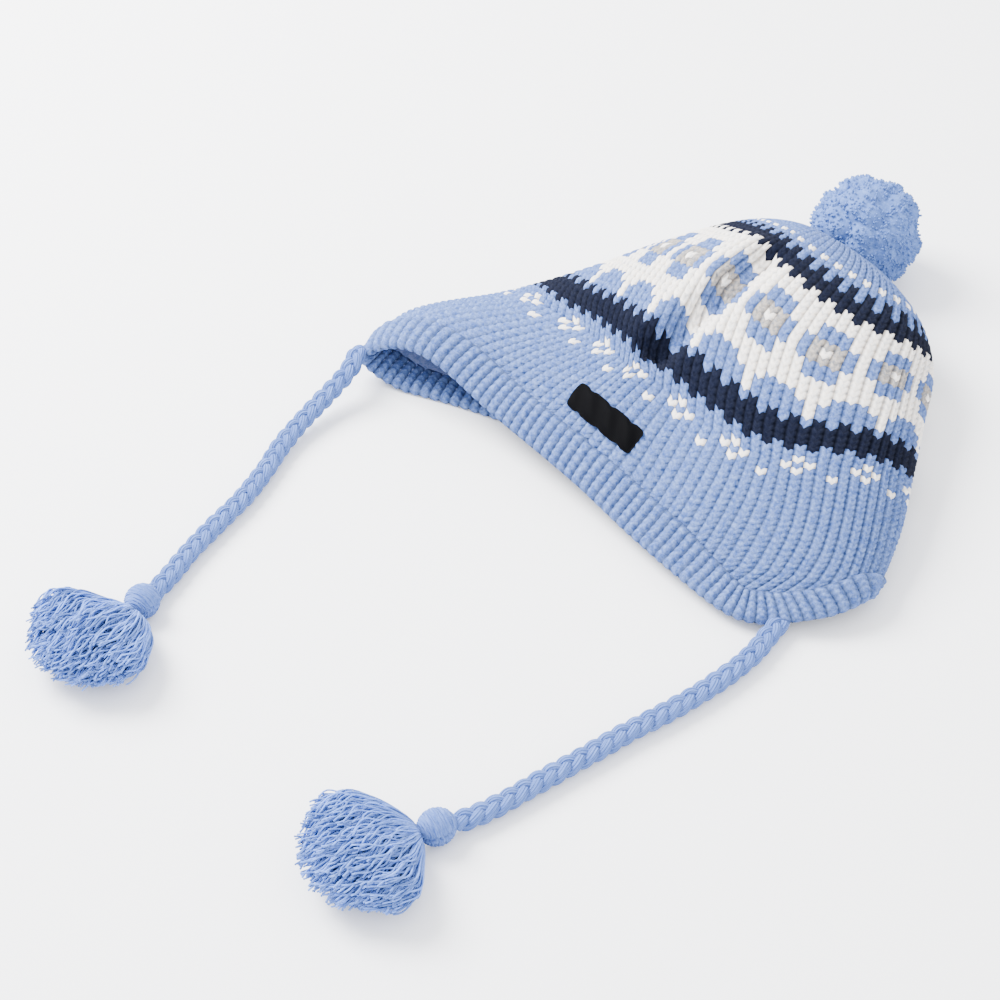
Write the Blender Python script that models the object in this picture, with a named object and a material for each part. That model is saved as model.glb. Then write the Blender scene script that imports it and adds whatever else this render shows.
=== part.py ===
"""Knitted earflap beanie lying on its back, with a pompom, a woven tab, two braided ties and two tassels.

The hat is a flattened bag of knit. Its length runs along +Y, from the mouth to the closed top. The near
side is +X, the far side -X, and the back of the hat lies on the ground at z = 0.
"""
import math

import bmesh
import bpy
import numpy as np

# Crown, in metres
HAT_LENGTH = 0.197
NEAR_HALF_WIDTH = 0.147
FAR_HALF_WIDTH = 0.136
CROWN_HEIGHT = 0.060
KNIT_WALL = 0.0034
CREST_SHIFT = 0.003
NEAR_ROUNDNESS = 2.3
FAR_ROUNDNESS = 1.5
UNDERSIDE_FLATNESS = 6.0
UNDERSIDE_PRESS = 1.16

# Far flap, which curls up off the ground
FLAP_CURL_HEIGHT = 0.016
FLAP_CURL_PLACE_SHARE = -0.78
FLAP_CURL_SPREAD_SHARE = 0.27
FLAP_CURL_SQUARENESS = 12

# Border, pompom and tab
BORDER_WIDTH = 0.0135
POMPOM_DIAMETER = 0.059
POMPOM_ACROSS = 0.0084
TUFT_COUNT = 40
TUFT_DEPTH = 0.0022
TAB_LENGTH = 0.040
TAB_WIDTH = 0.0145
TAB_THICKNESS = 0.0010
TAB_ABOVE_BORDER = 0.0110
TAB_ACROSS = 0.007

# Ties, knots and tassels
TIE_DIAMETER = 0.009
KNOT_LENGTH = 0.017
KNOT_DIAMETER = 0.0165
TASSEL_LENGTH = 0.045
TASSEL_WIDTH = 0.062
TASSEL_HEIGHT = 0.030
FAR_TASSEL_HEADING = (0.0, -1.0)
NEAR_TASSEL_HEADING = (-0.22, -1.0)
TASSEL_NECK = 0.011
LOCK_COUNT = 9
LOCK_DEPTH = 0.16
LOCK_STAGGER = 0.0030

# Shape of a knot and a tassel, as shares
KNOT_END_SHARE = 0.42
KNOT_SWELL_POWER = 0.6
LOCK_UNEVENNESS = 0.3
LOCK_GROUPS = 3
LOCK_RISE = 2
HEADING_RISE = 3
TASSEL_FLATTEN_SHARE = 0.97
TUFT_HOLLOW_SHARE = 1.3

# Gap between pieces that meet
CLEARANCE = 0.0003
TAB_CLEARANCE = 0.00039

# Mesh fineness
COLUMNS = 56
CROWN_ROWS = 25
BORDER_ROWS = 2
FINE_STEPS = 240
TIE_STEPS = 42
FINE_TURNS = 1441
EVEN_RING_ALONG = 0.33
SLOPE_NUDGE = 0.0005
TAB_COLUMNS = 9
TAB_ROWS = 4
TAB_SEARCH_TURNS = 1440
FRONT_TURNS = (0.1, 0.4)
ROUTE_STEPS = 800
TIE_SIDES_LEVEL = 3
KNOT_ROWS = 9
KNOT_SIDES = 14
TASSEL_ROWS = 9
TASSEL_SIDES = 36

# Sections of the crown from the mouth to the closed top. Shares of the named sizes: along of the length,
# near and far of the half widths, and all others of the height. curl is a share of the flap's curl.
SECTION_COLUMNS = ("along", "near", "far", "top", "near_waist", "far_waist", "base", "curl")
SECTIONS = (
    (-0.06, 0.86, 0.90, 0.17, 0.07, 0.23, 0.00, 1.00),
    (0.00, 0.90, 0.92, 0.21, 0.07, 0.23, 0.00, 1.00),
    (0.08, 0.97, 0.94, 0.44, 0.10, 0.24, 0.00, 0.78),
    (0.17, 1.00, 0.93, 0.63, 0.15, 0.25, 0.00, 0.42),
    (0.35, 0.93, 0.76, 0.81, 0.22, 0.25, 0.00, 0.04),
    (0.52, 0.82, 0.62, 0.91, 0.28, 0.27, 0.00, 0.00),
    (0.68, 0.71, 0.51, 0.98, 0.33, 0.30, 0.00, 0.00),
    (0.82, 0.61, 0.41, 0.95, 0.38, 0.34, 0.00, 0.00),
    (0.92, 0.46, 0.31, 0.85, 0.44, 0.42, 0.05, 0.00),
    (0.98, 0.24, 0.20, 0.69, 0.48, 0.48, 0.23, 0.00),
    (1.00, 0.00, 0.00, 0.49, 0.49, 0.49, 0.49, 0.00),
)

# The mouth's edge: turn counts round from the near side over the front, along is a share of the length
MOUTH_COLUMNS = ("turn", "along")
MOUTH = (
    (0.000, 0.170),
    (0.025, 0.075),
    (0.052, 0.000),
    (0.090, -0.052),
    (0.150, -0.045),
    (0.250, 0.008),
    (0.340, 0.034),
    (0.400, 0.019),
    (0.450, 0.000),
    (0.500, -0.020),
    (0.550, -0.010),
    (0.600, 0.015),
    (0.660, 0.075),
    (0.750, 0.160),
    (0.850, 0.185),
    (0.930, 0.185),
)

# Folds of the front. along and across are shares of the length and of the near half width, width and
# depth shares of the height. A negative depth is a ridge.
FOLD_COLUMNS = ("along", "across", "along_end", "across_end", "width", "depth")
FOLDS = (
    (0.34, 0.035, 0.72, 0.05, 0.11, 0.13),
    (0.36, -0.06, 0.74, -0.05, 0.16, -0.05),
    (0.10, 0.30, 0.30, 0.16, 0.30, 0.05),
)

# Half width and half height of a tassel's fan between its neck and its full size, at shares of its length
TASSEL_COLUMNS = ("along", "wide", "tall")
TASSEL_PROFILE = (
    (0.00, 0.00, 0.00),
    (0.15, 0.42, 0.45),
    (0.35, 0.84, 0.85),
    (0.60, 1.00, 1.00),
    (0.80, 0.93, 0.92),
    (0.93, 0.72, 0.60),
    (1.00, 0.48, 0.25),
)

# Routes of the two ties from the flap tips to the knots, points chosen by hand, in metres
FAR_TIE_ROUTE = (
    (-0.1215, -0.0050, 0.0165),
    (-0.1180, -0.0100, 0.0170),
    (-0.1163, -0.0160, 0.0150),
    (-0.1162, -0.0233, 0.0122),
    (-0.1158, -0.0341, 0.0092),
    (-0.1142, -0.0484, 0.0068),
    (-0.1105, -0.0647, 0.0053),
    (-0.1037, -0.0824, 0.0048),
    (-0.0978, -0.1014, 0.0048),
    (-0.0939, -0.1219, 0.0048),
    (-0.0900, -0.1399, 0.0048),
    (-0.0850, -0.1564, 0.0050),
    (-0.0819, -0.1684, 0.0056),
)
NEAR_TIE_ROUTE = (
    (0.1280, -0.0030, 0.0050),
    (0.1289, -0.0105, 0.0048),
    (0.1300, -0.0197, 0.0048),
    (0.1297, -0.0326, 0.0048),
    (0.1272, -0.0524, 0.0048),
    (0.1234, -0.0705, 0.0048),
    (0.1190, -0.0875, 0.0048),
    (0.1159, -0.1025, 0.0048),
    (0.1125, -0.1181, 0.0048),
    (0.1092, -0.1331, 0.0048),
    (0.1061, -0.1483, 0.0048),
    (0.1029, -0.1601, 0.0050),
    (0.0991, -0.1703, 0.0056),
)

# Colours of the yarns and the tab
BLUE_YARN = (0.33, 0.50, 0.78, 1.0)
PALE_BLUE_YARN = (0.40, 0.56, 0.83, 1.0)
BLACK_TAPE = (0.012, 0.012, 0.015, 1.0)
YARN_ROUGHNESS = 0.92


def column_of(table, names, name):
    """One named column of a table."""
    index = names.index(name)
    return [row[index] for row in table]


def smooth_curve(knots, values, at):
    """Cubic curve through (knots, values), with slopes taken from each knot's two neighbours."""
    knots = np.asarray(knots, float)
    values = np.asarray(values, float)
    at = np.asarray(at, float)
    slopes = np.empty_like(values)
    slopes[1:-1] = (values[2:] - values[:-2]) / (knots[2:] - knots[:-2])
    slopes[0] = (values[1] - values[0]) / (knots[1] - knots[0])
    slopes[-1] = (values[-1] - values[-2]) / (knots[-1] - knots[-2])
    span = np.clip(np.searchsorted(knots, at) - 1, 0, len(knots) - 2)
    step = knots[span + 1] - knots[span]
    t = (at - knots[span]) / step
    start = values[span] * (1 + 2 * t) * (1 - t) ** 2 + slopes[span] * step * t * (1 - t) ** 2
    end = values[span + 1] * t ** 2 * (3 - 2 * t) + slopes[span + 1] * step * t ** 2 * (t - 1)
    return start + end


def rounded(along):
    """Turn a share of the length into a measure that runs evenly over the round closed top."""
    return 1.0 - np.sqrt(np.maximum(1.0 - np.asarray(along, float), 0.0))


def section(column, measure):
    """Value of one column of the sections table at a measure from rounded()."""
    knots = rounded(column_of(SECTIONS, SECTION_COLUMNS, "along"))
    return smooth_curve(knots, column_of(SECTIONS, SECTION_COLUMNS, column), measure)


def mouth_along(turn):
    """Share of the length at which the mouth's edge lies, at a turn from 0 to 1."""
    turns = column_of(MOUTH, MOUTH_COLUMNS, "turn")
    along = column_of(MOUTH, MOUTH_COLUMNS, "along")
    turns = [turns[-2] - 1, turns[-1] - 1] + turns + [turns[0] + 1, turns[1] + 1]
    along = [along[-2], along[-1]] + along + [along[0], along[1]]
    return smooth_curve(turns, along, turn)


def fold_depth(x, y):
    """Depth of the folds table's dents at places on the front."""
    depth = np.zeros_like(x)
    for row in FOLDS:
        fold = dict(zip(FOLD_COLUMNS, row))
        start = np.array([fold["across"] * NEAR_HALF_WIDTH, fold["along"] * HAT_LENGTH])
        run = np.array([fold["across_end"] * NEAR_HALF_WIDTH, fold["along_end"] * HAT_LENGTH]) - start
        t = ((x - start[0]) * run[0] + (y - start[1]) * run[1]) / run.dot(run)
        held = np.clip(t, 0.0, 1.0)
        distance = np.hypot(x - start[0] - held * run[0], y - start[1] - held * run[1])
        width = fold["width"] * CROWN_HEIGHT
        depth += fold["depth"] * CROWN_HEIGHT * np.exp(-(distance / width) ** 2)
    return depth


def surface(turn, measure):
    """Outer surface of the hat: a flattened ring at each measure, flat below and domed above."""
    turn, measure = np.broadcast_arrays(turn, measure)
    across = np.cos(2 * math.pi * turn)
    share = np.abs(across)
    near_side = across > 0
    side = 0.5 + 0.5 * across
    near_width = NEAR_HALF_WIDTH * section("near", measure)
    far_width = FAR_HALF_WIDTH * section("far", measure)
    width = np.where(near_side, near_width, far_width)
    waist = side * section("near_waist", measure) + (1 - side) * section("far_waist", measure)
    roundness = np.where(near_side, NEAR_ROUNDNESS, FAR_ROUNDNESS)
    dome = np.sqrt(np.maximum(1 - share ** roundness, 0))
    press = np.minimum(1, UNDERSIDE_PRESS * np.sqrt(np.maximum(1 - share ** UNDERSIDE_FLATNESS, 0)))
    over = waist + (section("top", measure) - waist) * dome
    under = waist + (np.maximum(section("base", measure), 0) - waist) * press
    x = CREST_SHIFT + width * across
    y = (1 - (1 - measure) ** 2) * HAT_LENGTH
    curl = section("curl", measure) * FLAP_CURL_HEIGHT * np.sqrt(np.maximum(1 - share ** FLAP_CURL_SQUARENESS, 0))
    curl = curl * np.exp(-((across - FLAP_CURL_PLACE_SHARE) / FLAP_CURL_SPREAD_SHARE) ** 2)
    on_top = np.sin(2 * math.pi * turn) >= 0
    z = np.where(on_top, over * CROWN_HEIGHT + curl, under * CROWN_HEIGHT)
    closing = np.clip(section("top", measure) - section("base", measure), 0, 1)
    z = np.where(on_top, z - fold_depth(x, y) * dome * np.minimum(1, 2 * closing), z)
    return np.stack([x, y, z], axis=-1)


def even_turns(count):
    """Turns that are spaced evenly along the section at a third of the length."""
    fine = np.linspace(0, 1, FINE_TURNS)
    ring = surface(fine, rounded(EVEN_RING_ALONG))
    walked = np.concatenate([[0], np.cumsum(np.linalg.norm(np.diff(ring, axis=0), axis=1))])
    return np.interp(np.arange(count) / count * walked[-1], walked, fine)


def wale_lines(turns):
    """Fine points, outward normals and walked lengths along each line from the mouth to the top."""
    start = rounded(mouth_along(turns))
    steps = np.linspace(0, 1, FINE_STEPS)
    measure = start[:, None] + (1 - start[:, None]) * steps[None, :]
    points = surface(turns[:, None], measure)
    nudge = SLOPE_NUDGE
    inner = np.minimum(measure, 1 - 2 * nudge)
    down_line = surface(turns[:, None], inner + nudge) - surface(turns[:, None], inner - nudge)
    round_ring = surface(turns[:, None] + nudge, inner) - surface(turns[:, None] - nudge, inner)
    normals = np.cross(down_line, round_ring)
    normals[:, -1] = (0, 1, 0)
    normals /= np.linalg.norm(normals, axis=-1, keepdims=True)
    lengths = np.concatenate([np.zeros((len(turns), 1)),
                              np.cumsum(np.linalg.norm(np.diff(points, axis=1), axis=-1), axis=1)], axis=1)
    return points, normals, lengths


def walk(lines, lengths, wanted):
    """Values of each line at wanted lengths along it."""
    out = np.empty(wanted.shape + (3,))
    for line in range(len(lines)):
        for axis in range(3):
            out[line, :, axis] = np.interp(wanted[line], lengths[line], lines[line, :, axis])
    return out


def material(name, colour):
    """Plain matt material of one yarn or tape."""
    made = bpy.data.materials.new(name)
    made.use_nodes = True
    shader = made.node_tree.nodes["Principled BSDF"]
    shader.inputs["Base Color"].default_value = colour
    shader.inputs["Roughness"].default_value = YARN_ROUGHNESS
    shader.inputs["Metallic"].default_value = 0.0
    return made


def add_object(name, vertices, faces, finish):
    """Closed, smooth-shaded mesh object with its faces pointing outwards."""
    mesh = bpy.data.meshes.new(name)
    mesh.from_pydata([tuple(v) for v in vertices], [], faces)
    body = bmesh.new()
    body.from_mesh(mesh)
    bmesh.ops.recalc_face_normals(body, faces=body.faces)
    if body.calc_volume(signed=True) < 0:
        bmesh.ops.reverse_faces(body, faces=body.faces)
    body.to_mesh(mesh)
    body.free()
    mesh.shade_smooth()
    mesh.materials.append(finish)
    made = bpy.data.objects.new(name, mesh)
    bpy.context.collection.objects.link(made)
    return made


def ring_faces(first, second, count, flip=False):
    """Quads between two rings of vertices that start at first and second."""
    faces = []
    for i in range(count):
        j = (i + 1) % count
        face = (first + i, first + j, second + j, second + i)
        faces.append(face[::-1] if flip else face)
    return faces


def build_crown(finish):
    """The knitted bag: an outer and an inner wall that meet at the mouth's edge."""
    turns = even_turns(COLUMNS)
    points, normals, lengths = wale_lines(turns)
    start = BORDER_WIDTH + CLEARANCE
    shares = np.linspace(0, 1, CROWN_ROWS + 1)[:-1]
    wanted = start + shares[None, :] * (lengths[:, -1:] - start)
    outer = walk(points, lengths, wanted)
    inner = outer - KNIT_WALL * walk(normals, lengths, wanted)
    top = points[0, -1]
    vertices = []
    for wall in (outer, inner):
        for row in range(CROWN_ROWS):
            vertices.extend(wall[:, row])
    vertices.append(top)
    vertices.append(top - np.array([0, KNIT_WALL, 0]))
    layer = COLUMNS * CROWN_ROWS
    faces = []
    for row in range(CROWN_ROWS - 1):
        faces += ring_faces(row * COLUMNS, (row + 1) * COLUMNS, COLUMNS)
        faces += ring_faces(layer + row * COLUMNS, layer + (row + 1) * COLUMNS, COLUMNS, flip=True)
    faces += ring_faces(0, layer, COLUMNS, flip=True)
    last = (CROWN_ROWS - 1) * COLUMNS
    for i in range(COLUMNS):
        j = (i + 1) % COLUMNS
        faces.append((last + i, last + j, 2 * layer))
        faces.append((layer + last + j, layer + last + i, 2 * layer + 1))
    return add_object("crown", vertices, faces, finish)


def build_border(finish):
    """The ribbed edging that is knitted on round the mouth and both flaps."""
    turns = even_turns(COLUMNS)
    points, normals, lengths = wale_lines(turns)
    wanted = np.tile(np.linspace(0, BORDER_WIDTH, BORDER_ROWS + 1), (COLUMNS, 1))
    outer = walk(points, lengths, wanted)
    inner = outer - KNIT_WALL * walk(normals, lengths, wanted)
    vertices = []
    for wall in (outer, inner):
        for row in range(BORDER_ROWS + 1):
            vertices.extend(wall[:, row])
    layer = COLUMNS * (BORDER_ROWS + 1)
    faces = []
    for row in range(BORDER_ROWS):
        faces += ring_faces(row * COLUMNS, (row + 1) * COLUMNS, COLUMNS)
        faces += ring_faces(layer + row * COLUMNS, layer + (row + 1) * COLUMNS, COLUMNS, flip=True)
    last = BORDER_ROWS * COLUMNS
    faces += ring_faces(0, layer, COLUMNS, flip=True)
    faces += ring_faces(last, layer + last, COLUMNS)
    return add_object("border", vertices, faces, finish)


def build_tab(finish):
    """The woven tab, sewn flat on the front above the border."""
    turns = even_turns(TAB_SEARCH_TURNS)
    points, normals, lengths = wale_lines(turns)
    low = BORDER_WIDTH + TAB_ABOVE_BORDER
    picked = []
    for across in np.linspace(-0.5, 0.5, TAB_COLUMNS):
        wanted_x = TAB_ACROSS + across * TAB_LENGTH
        at_low = walk(points, lengths, np.full((len(turns), 1), low))[:, 0]
        on_front = (turns > FRONT_TURNS[0]) & (turns < FRONT_TURNS[1])
        picked.append(int(np.argmin(np.where(on_front, np.abs(at_low[:, 0] - wanted_x), 9))))
    wanted = np.tile(np.linspace(low, low + TAB_WIDTH, TAB_ROWS), (TAB_COLUMNS, 1))
    base = walk(points[picked], lengths[picked], wanted)
    lift = walk(normals[picked], lengths[picked], wanted)
    under = base + TAB_CLEARANCE * lift
    over = under + TAB_THICKNESS * lift
    vertices = list(under.reshape(-1, 3)) + list(over.reshape(-1, 3))
    layer = TAB_COLUMNS * TAB_ROWS
    faces = []
    for c in range(TAB_COLUMNS - 1):
        for r in range(TAB_ROWS - 1):
            a = c * TAB_ROWS + r
            quad = (a, a + TAB_ROWS, a + TAB_ROWS + 1, a + 1)
            faces.append(quad)
            faces.append(tuple(layer + v for v in quad[::-1]))
    rim = [c * TAB_ROWS for c in range(TAB_COLUMNS)]
    rim += [(TAB_COLUMNS - 1) * TAB_ROWS + r for r in range(1, TAB_ROWS)]
    rim += [c * TAB_ROWS + TAB_ROWS - 1 for c in range(TAB_COLUMNS - 2, -1, -1)]
    rim += [r for r in range(TAB_ROWS - 2, 0, -1)]
    for i, a in enumerate(rim):
        b = rim[(i + 1) % len(rim)]
        faces.append((a, b, layer + b, layer + a))
    return add_object("tab", vertices, faces, finish)


def even_directions(count):
    """Unit directions spread evenly over a sphere along a spiral."""
    index = np.arange(count) + 0.5
    height = 1 - 2 * index / count
    angle = index * math.pi * (1 + math.sqrt(5))
    flat = np.sqrt(1 - height ** 2)
    return np.stack([flat * np.cos(angle), height, flat * np.sin(angle)], axis=1)


def build_pompom(finish):
    """The pompom: a ball of tufts, trimmed round, that lies against the closed top."""
    ball = bmesh.new()
    bmesh.ops.create_icosphere(ball, subdivisions=3, radius=1.0)
    ball.verts.ensure_lookup_table()
    directions = np.array([v.co[:] for v in ball.verts])
    directions /= np.linalg.norm(directions, axis=1, keepdims=True)
    faces = [tuple(v.index for v in face.verts) for face in ball.faces]
    ball.free()
    tufts = even_directions(TUFT_COUNT)
    nearest = np.arccos(np.clip(directions @ tufts.T, -1, 1)).min(axis=1)
    spacing = math.sqrt(4 * math.pi / TUFT_COUNT) / 2
    radius = POMPOM_DIAMETER / 2
    reach = radius - TUFT_DEPTH * np.minimum(nearest / spacing, TUFT_HOLLOW_SHARE) ** 2
    vertices = directions * reach[:, None]
    vertices[:, 1] = np.maximum(vertices[:, 1], TUFT_DEPTH - radius)
    vertices[:, 0] += POMPOM_ACROSS
    vertices[:, 1] += HAT_LENGTH + CLEARANCE - vertices[:, 1].min()
    vertices[:, 2] -= vertices[:, 2].min()
    return add_object("pompom", vertices, faces, finish)


def route_points(route, count):
    """Evenly spaced points of one smooth curve through a route's own points."""
    route = np.array(route)
    knots = np.concatenate([[0], np.cumsum(np.linalg.norm(np.diff(route, axis=0), axis=1))])
    fine = np.linspace(0, knots[-1], ROUTE_STEPS)
    curve = np.stack([smooth_curve(knots, route[:, axis], fine) for axis in range(3)], axis=1)
    walked = np.concatenate([[0], np.cumsum(np.linalg.norm(np.diff(curve, axis=0), axis=1))])
    wanted = np.linspace(0, walked[-1], count)
    return np.stack([np.interp(wanted, walked, curve[:, axis]) for axis in range(3)], axis=1)


def build_tie(name, route, finish):
    """One braided tie, as a round tube on its route with filled ends."""
    curve = bpy.data.curves.new(name, "CURVE")
    curve.dimensions = "3D"
    curve.bevel_depth = TIE_DIAMETER / 2
    curve.bevel_resolution = TIE_SIDES_LEVEL
    curve.render_resolution_u = 0
    curve.use_fill_caps = True
    points = route_points(route, TIE_STEPS)
    spline = curve.splines.new("POLY")
    spline.points.add(len(points) - 1)
    for point, place in zip(spline.points, points):
        point.co = (*place, 1.0)
    curve.materials.append(finish)
    made = bpy.data.objects.new(name, curve)
    bpy.context.collection.objects.link(made)
    return made


def level(heading):
    """A heading's level part, at unit length."""
    flat = np.array([heading[0], heading[1], 0.0])
    return flat / np.linalg.norm(flat)


def turned_body(name, start, headings, stations, radii_wide, radii_high, sides, shape, lift, finish):
    """Body lofted along level headings: rings of given half widths and half heights, with closed ends.

    shape gives, for a row and the angles round it, the ring's scale and how far it is pushed along.
    """
    up = np.array([0.0, 0.0, 1.0])
    angle = np.arange(sides) / sides * 2 * math.pi
    vertices = []
    walked = 0.0
    middle = np.array(start, float)
    for row, station in enumerate(stations):
        heading = level(headings[row])
        across = np.array([-heading[1], heading[0], 0.0])
        middle = middle + heading * (station - walked)
        walked = station
        scale, push = shape(row, angle)
        ring = (np.outer(radii_wide[row] * scale * np.cos(angle), across)
                + np.outer(radii_high[row] * scale * np.sin(angle), up)
                + np.outer(push, heading))
        vertices.extend(ring + middle + up * lift[row])
    vertices = np.array(vertices)
    vertices[:, 2] = np.maximum(vertices[:, 2], 0)
    faces = []
    for row in range(len(stations) - 1):
        faces += ring_faces(row * sides, (row + 1) * sides, sides)
    first = len(vertices)
    ends = [vertices[:sides].mean(axis=0), vertices[-sides:].mean(axis=0)]
    vertices = np.vstack([vertices, ends])
    last = (len(stations) - 1) * sides
    for i in range(sides):
        j = (i + 1) % sides
        faces.append((j, i, first))
        faces.append((last + i, last + j, first + 1))
    return add_object(name, vertices, faces, finish)


def build_knot(name, route, finish):
    """The wound knot at a tie's end: a barrel in line with the tie."""
    points = route_points(route, TIE_STEPS)
    heading = level(points[-1] - points[-3])
    start = points[-1] + heading * CLEARANCE
    share = np.linspace(0, 1, KNOT_ROWS)
    swell = KNOT_END_SHARE + (1 - KNOT_END_SHARE) * np.sin(math.pi * share) ** KNOT_SWELL_POWER
    radius = KNOT_DIAMETER / 2 * swell
    floor = start[2]
    lift = np.maximum(radius - floor, 0)
    body = turned_body(name, start, [heading] * KNOT_ROWS, share * KNOT_LENGTH, radius, radius, KNOT_SIDES,
                       lambda row, angle: (np.ones_like(angle), np.zeros_like(angle)), lift, finish)
    return body, start + heading * (KNOT_LENGTH + CLEARANCE), heading


def build_tassel(name, start, knot_heading, heading, finish):
    """The tassel's fan of cut yarn: locks that spread from the neck to a fringed, lobed end."""
    knots = column_of(TASSEL_PROFILE, TASSEL_COLUMNS, "along")
    share = np.linspace(0, 1, TASSEL_ROWS)
    wide = TASSEL_NECK / 2 + (TASSEL_WIDTH - TASSEL_NECK) / 2 * smooth_curve(
        knots, column_of(TASSEL_PROFILE, TASSEL_COLUMNS, "wide"), share)
    tall = TASSEL_NECK / 2 + (TASSEL_HEIGHT - TASSEL_NECK) / 2 * smooth_curve(
        knots, column_of(TASSEL_PROFILE, TASSEL_COLUMNS, "tall"), share)
    stations = share * TASSEL_LENGTH
    depth = LOCK_DEPTH * np.minimum(1, share * LOCK_RISE)

    def lobes(row, angle):
        uneven = 1 - LOCK_UNEVENNESS + LOCK_UNEVENNESS * np.cos(LOCK_GROUPS * angle)
        valley = (0.5 - 0.5 * np.cos(LOCK_COUNT * angle)) * uneven
        return 1 - depth[row] * valley, -LOCK_STAGGER * share[row] ** 4 * valley

    base = np.array([start[0], start[1], 0.0])
    turn = np.minimum(1, share[:, None] * HEADING_RISE)
    headings = (1 - turn) * knot_heading + turn * level(heading)
    return turned_body(name, base, headings, stations, wide, tall, TASSEL_SIDES, lobes,
                       tall * TASSEL_FLATTEN_SHARE, finish)


def main():
    for old in list(bpy.data.objects):
        bpy.data.objects.remove(old)
    blue = material("blue_yarn", BLUE_YARN)
    pale = material("pale_blue_yarn", PALE_BLUE_YARN)
    tape = material("black_tape", BLACK_TAPE)
    hat = [build_crown(blue), build_border(blue), build_tab(tape), build_pompom(pale)]
    loose = []
    sides = (("far", FAR_TIE_ROUTE, FAR_TASSEL_HEADING), ("near", NEAR_TIE_ROUTE, NEAR_TASSEL_HEADING))
    for side, route, heading in sides:
        loose.append(build_tie("tie_" + side, route, pale))
        knot, end, knot_heading = build_knot("knot_" + side, route, pale)
        loose.append(knot)
        loose.append(build_tassel("tassel_" + side, end, knot_heading, heading, pale))
    corners = np.array([v.co[:] for body in hat for v in body.data.vertices])
    middle = (corners.min(axis=0) + corners.max(axis=0)) / 2
    for body in hat + loose:
        body.location = (-middle[0], -middle[1], 0.0)


main()
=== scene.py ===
"""Looks of the knitted earflap beanie: wool knit, braided ties, wound knots, cut tassels and a pompom.

Lengths are metres. The hat's length runs along +Y, from the mouth to the closed top, and it lies on z = 0.
"""

import math

import bpy
import numpy as np
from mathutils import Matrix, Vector


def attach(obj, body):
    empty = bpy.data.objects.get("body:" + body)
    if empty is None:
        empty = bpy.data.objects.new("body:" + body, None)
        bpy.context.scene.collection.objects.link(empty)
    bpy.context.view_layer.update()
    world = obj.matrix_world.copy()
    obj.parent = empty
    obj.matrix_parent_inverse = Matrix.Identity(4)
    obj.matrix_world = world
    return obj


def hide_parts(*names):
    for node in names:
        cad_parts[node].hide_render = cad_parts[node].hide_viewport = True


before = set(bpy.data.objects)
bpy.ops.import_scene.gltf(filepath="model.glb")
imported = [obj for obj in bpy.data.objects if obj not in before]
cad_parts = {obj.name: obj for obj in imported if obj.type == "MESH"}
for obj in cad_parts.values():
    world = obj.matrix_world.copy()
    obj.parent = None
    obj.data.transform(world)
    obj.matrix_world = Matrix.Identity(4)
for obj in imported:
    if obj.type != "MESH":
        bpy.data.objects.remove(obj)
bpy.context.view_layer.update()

# Camera
# A portrait lens looks down on the hat from beyond its near flap, as the picture was taken.
LOOK_AT = (-0.02754, -0.14054, 0.0)
STAND_AT = (0.45947, -0.66998, 0.69466)
LENS = 79.2
SENSOR = 36.0

camera_data = bpy.data.cameras.new("studio_camera")
camera_data.lens = LENS
camera_data.sensor_width = SENSOR
camera = bpy.data.objects.new("studio_camera", camera_data)
camera.location = STAND_AT
camera.rotation_euler = (Vector(LOOK_AT) - Vector(STAND_AT)).to_track_quat("-Z", "Y").to_euler()
bpy.context.collection.objects.link(camera)
bpy.context.scene.camera = camera

# Floor and light
# A plain pale table, a broad soft light from the upper left, and bright air all round that fills the shadows.
FLOOR_SIZE = 6.0
FLOOR_DROP = 0.0002
FLOOR_COLOUR = (0.86, 0.86, 0.87, 1.0)
AIR_COLOUR = (0.96, 0.97, 1.0, 1.0)
AIR_STRENGTH = 3.4
KEY_PLACE = (-1.05, -0.35, 1.15)
KEY_SIZE = 0.9
KEY_POWER = 110.0
KEY_AIM = (0.0, -0.1, 0.0)


def set_inputs(node, values):
    """Put constant values on a shader node's inputs."""
    for name, value in values.items():
        node.inputs[name].default_value = value


def new_finish(name, values):
    """New material with its surface values set, and its node tree."""
    made = bpy.data.materials.new(name)
    made.use_nodes = True
    set_inputs(made.node_tree.nodes["Principled BSDF"], values)
    return made, made.node_tree


floor_mesh = bpy.data.meshes.new("floor")
half_floor = FLOOR_SIZE / 2
floor_corners = [(x * half_floor, y * half_floor, -FLOOR_DROP)
                 for x, y in ((-1, -1), (1, -1), (1, 1), (-1, 1))]
floor_mesh.from_pydata(floor_corners, [], [(0, 1, 2, 3)])
floor = bpy.data.objects.new("floor", floor_mesh)
bpy.context.collection.objects.link(floor)
floor_finish, _ = new_finish("pale_table", {"Base Color": FLOOR_COLOUR, "Roughness": 0.9,
                                            "Specular IOR Level": 0.1})
floor_mesh.materials.append(floor_finish)

air = bpy.data.worlds.new("studio_air")
air.use_nodes = True
air.node_tree.nodes["Background"].inputs["Color"].default_value = AIR_COLOUR
air.node_tree.nodes["Background"].inputs["Strength"].default_value = AIR_STRENGTH
bpy.context.scene.world = air

key_data = bpy.data.lights.new("key_light", "AREA")
key_data.size = KEY_SIZE
key_data.energy = KEY_POWER
key = bpy.data.objects.new("key_light", key_data)
key.location = KEY_PLACE
key.rotation_euler = (Vector(KEY_AIM) - Vector(KEY_PLACE)).to_track_quat("-Z", "Y").to_euler()
bpy.context.collection.objects.link(key)

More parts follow.
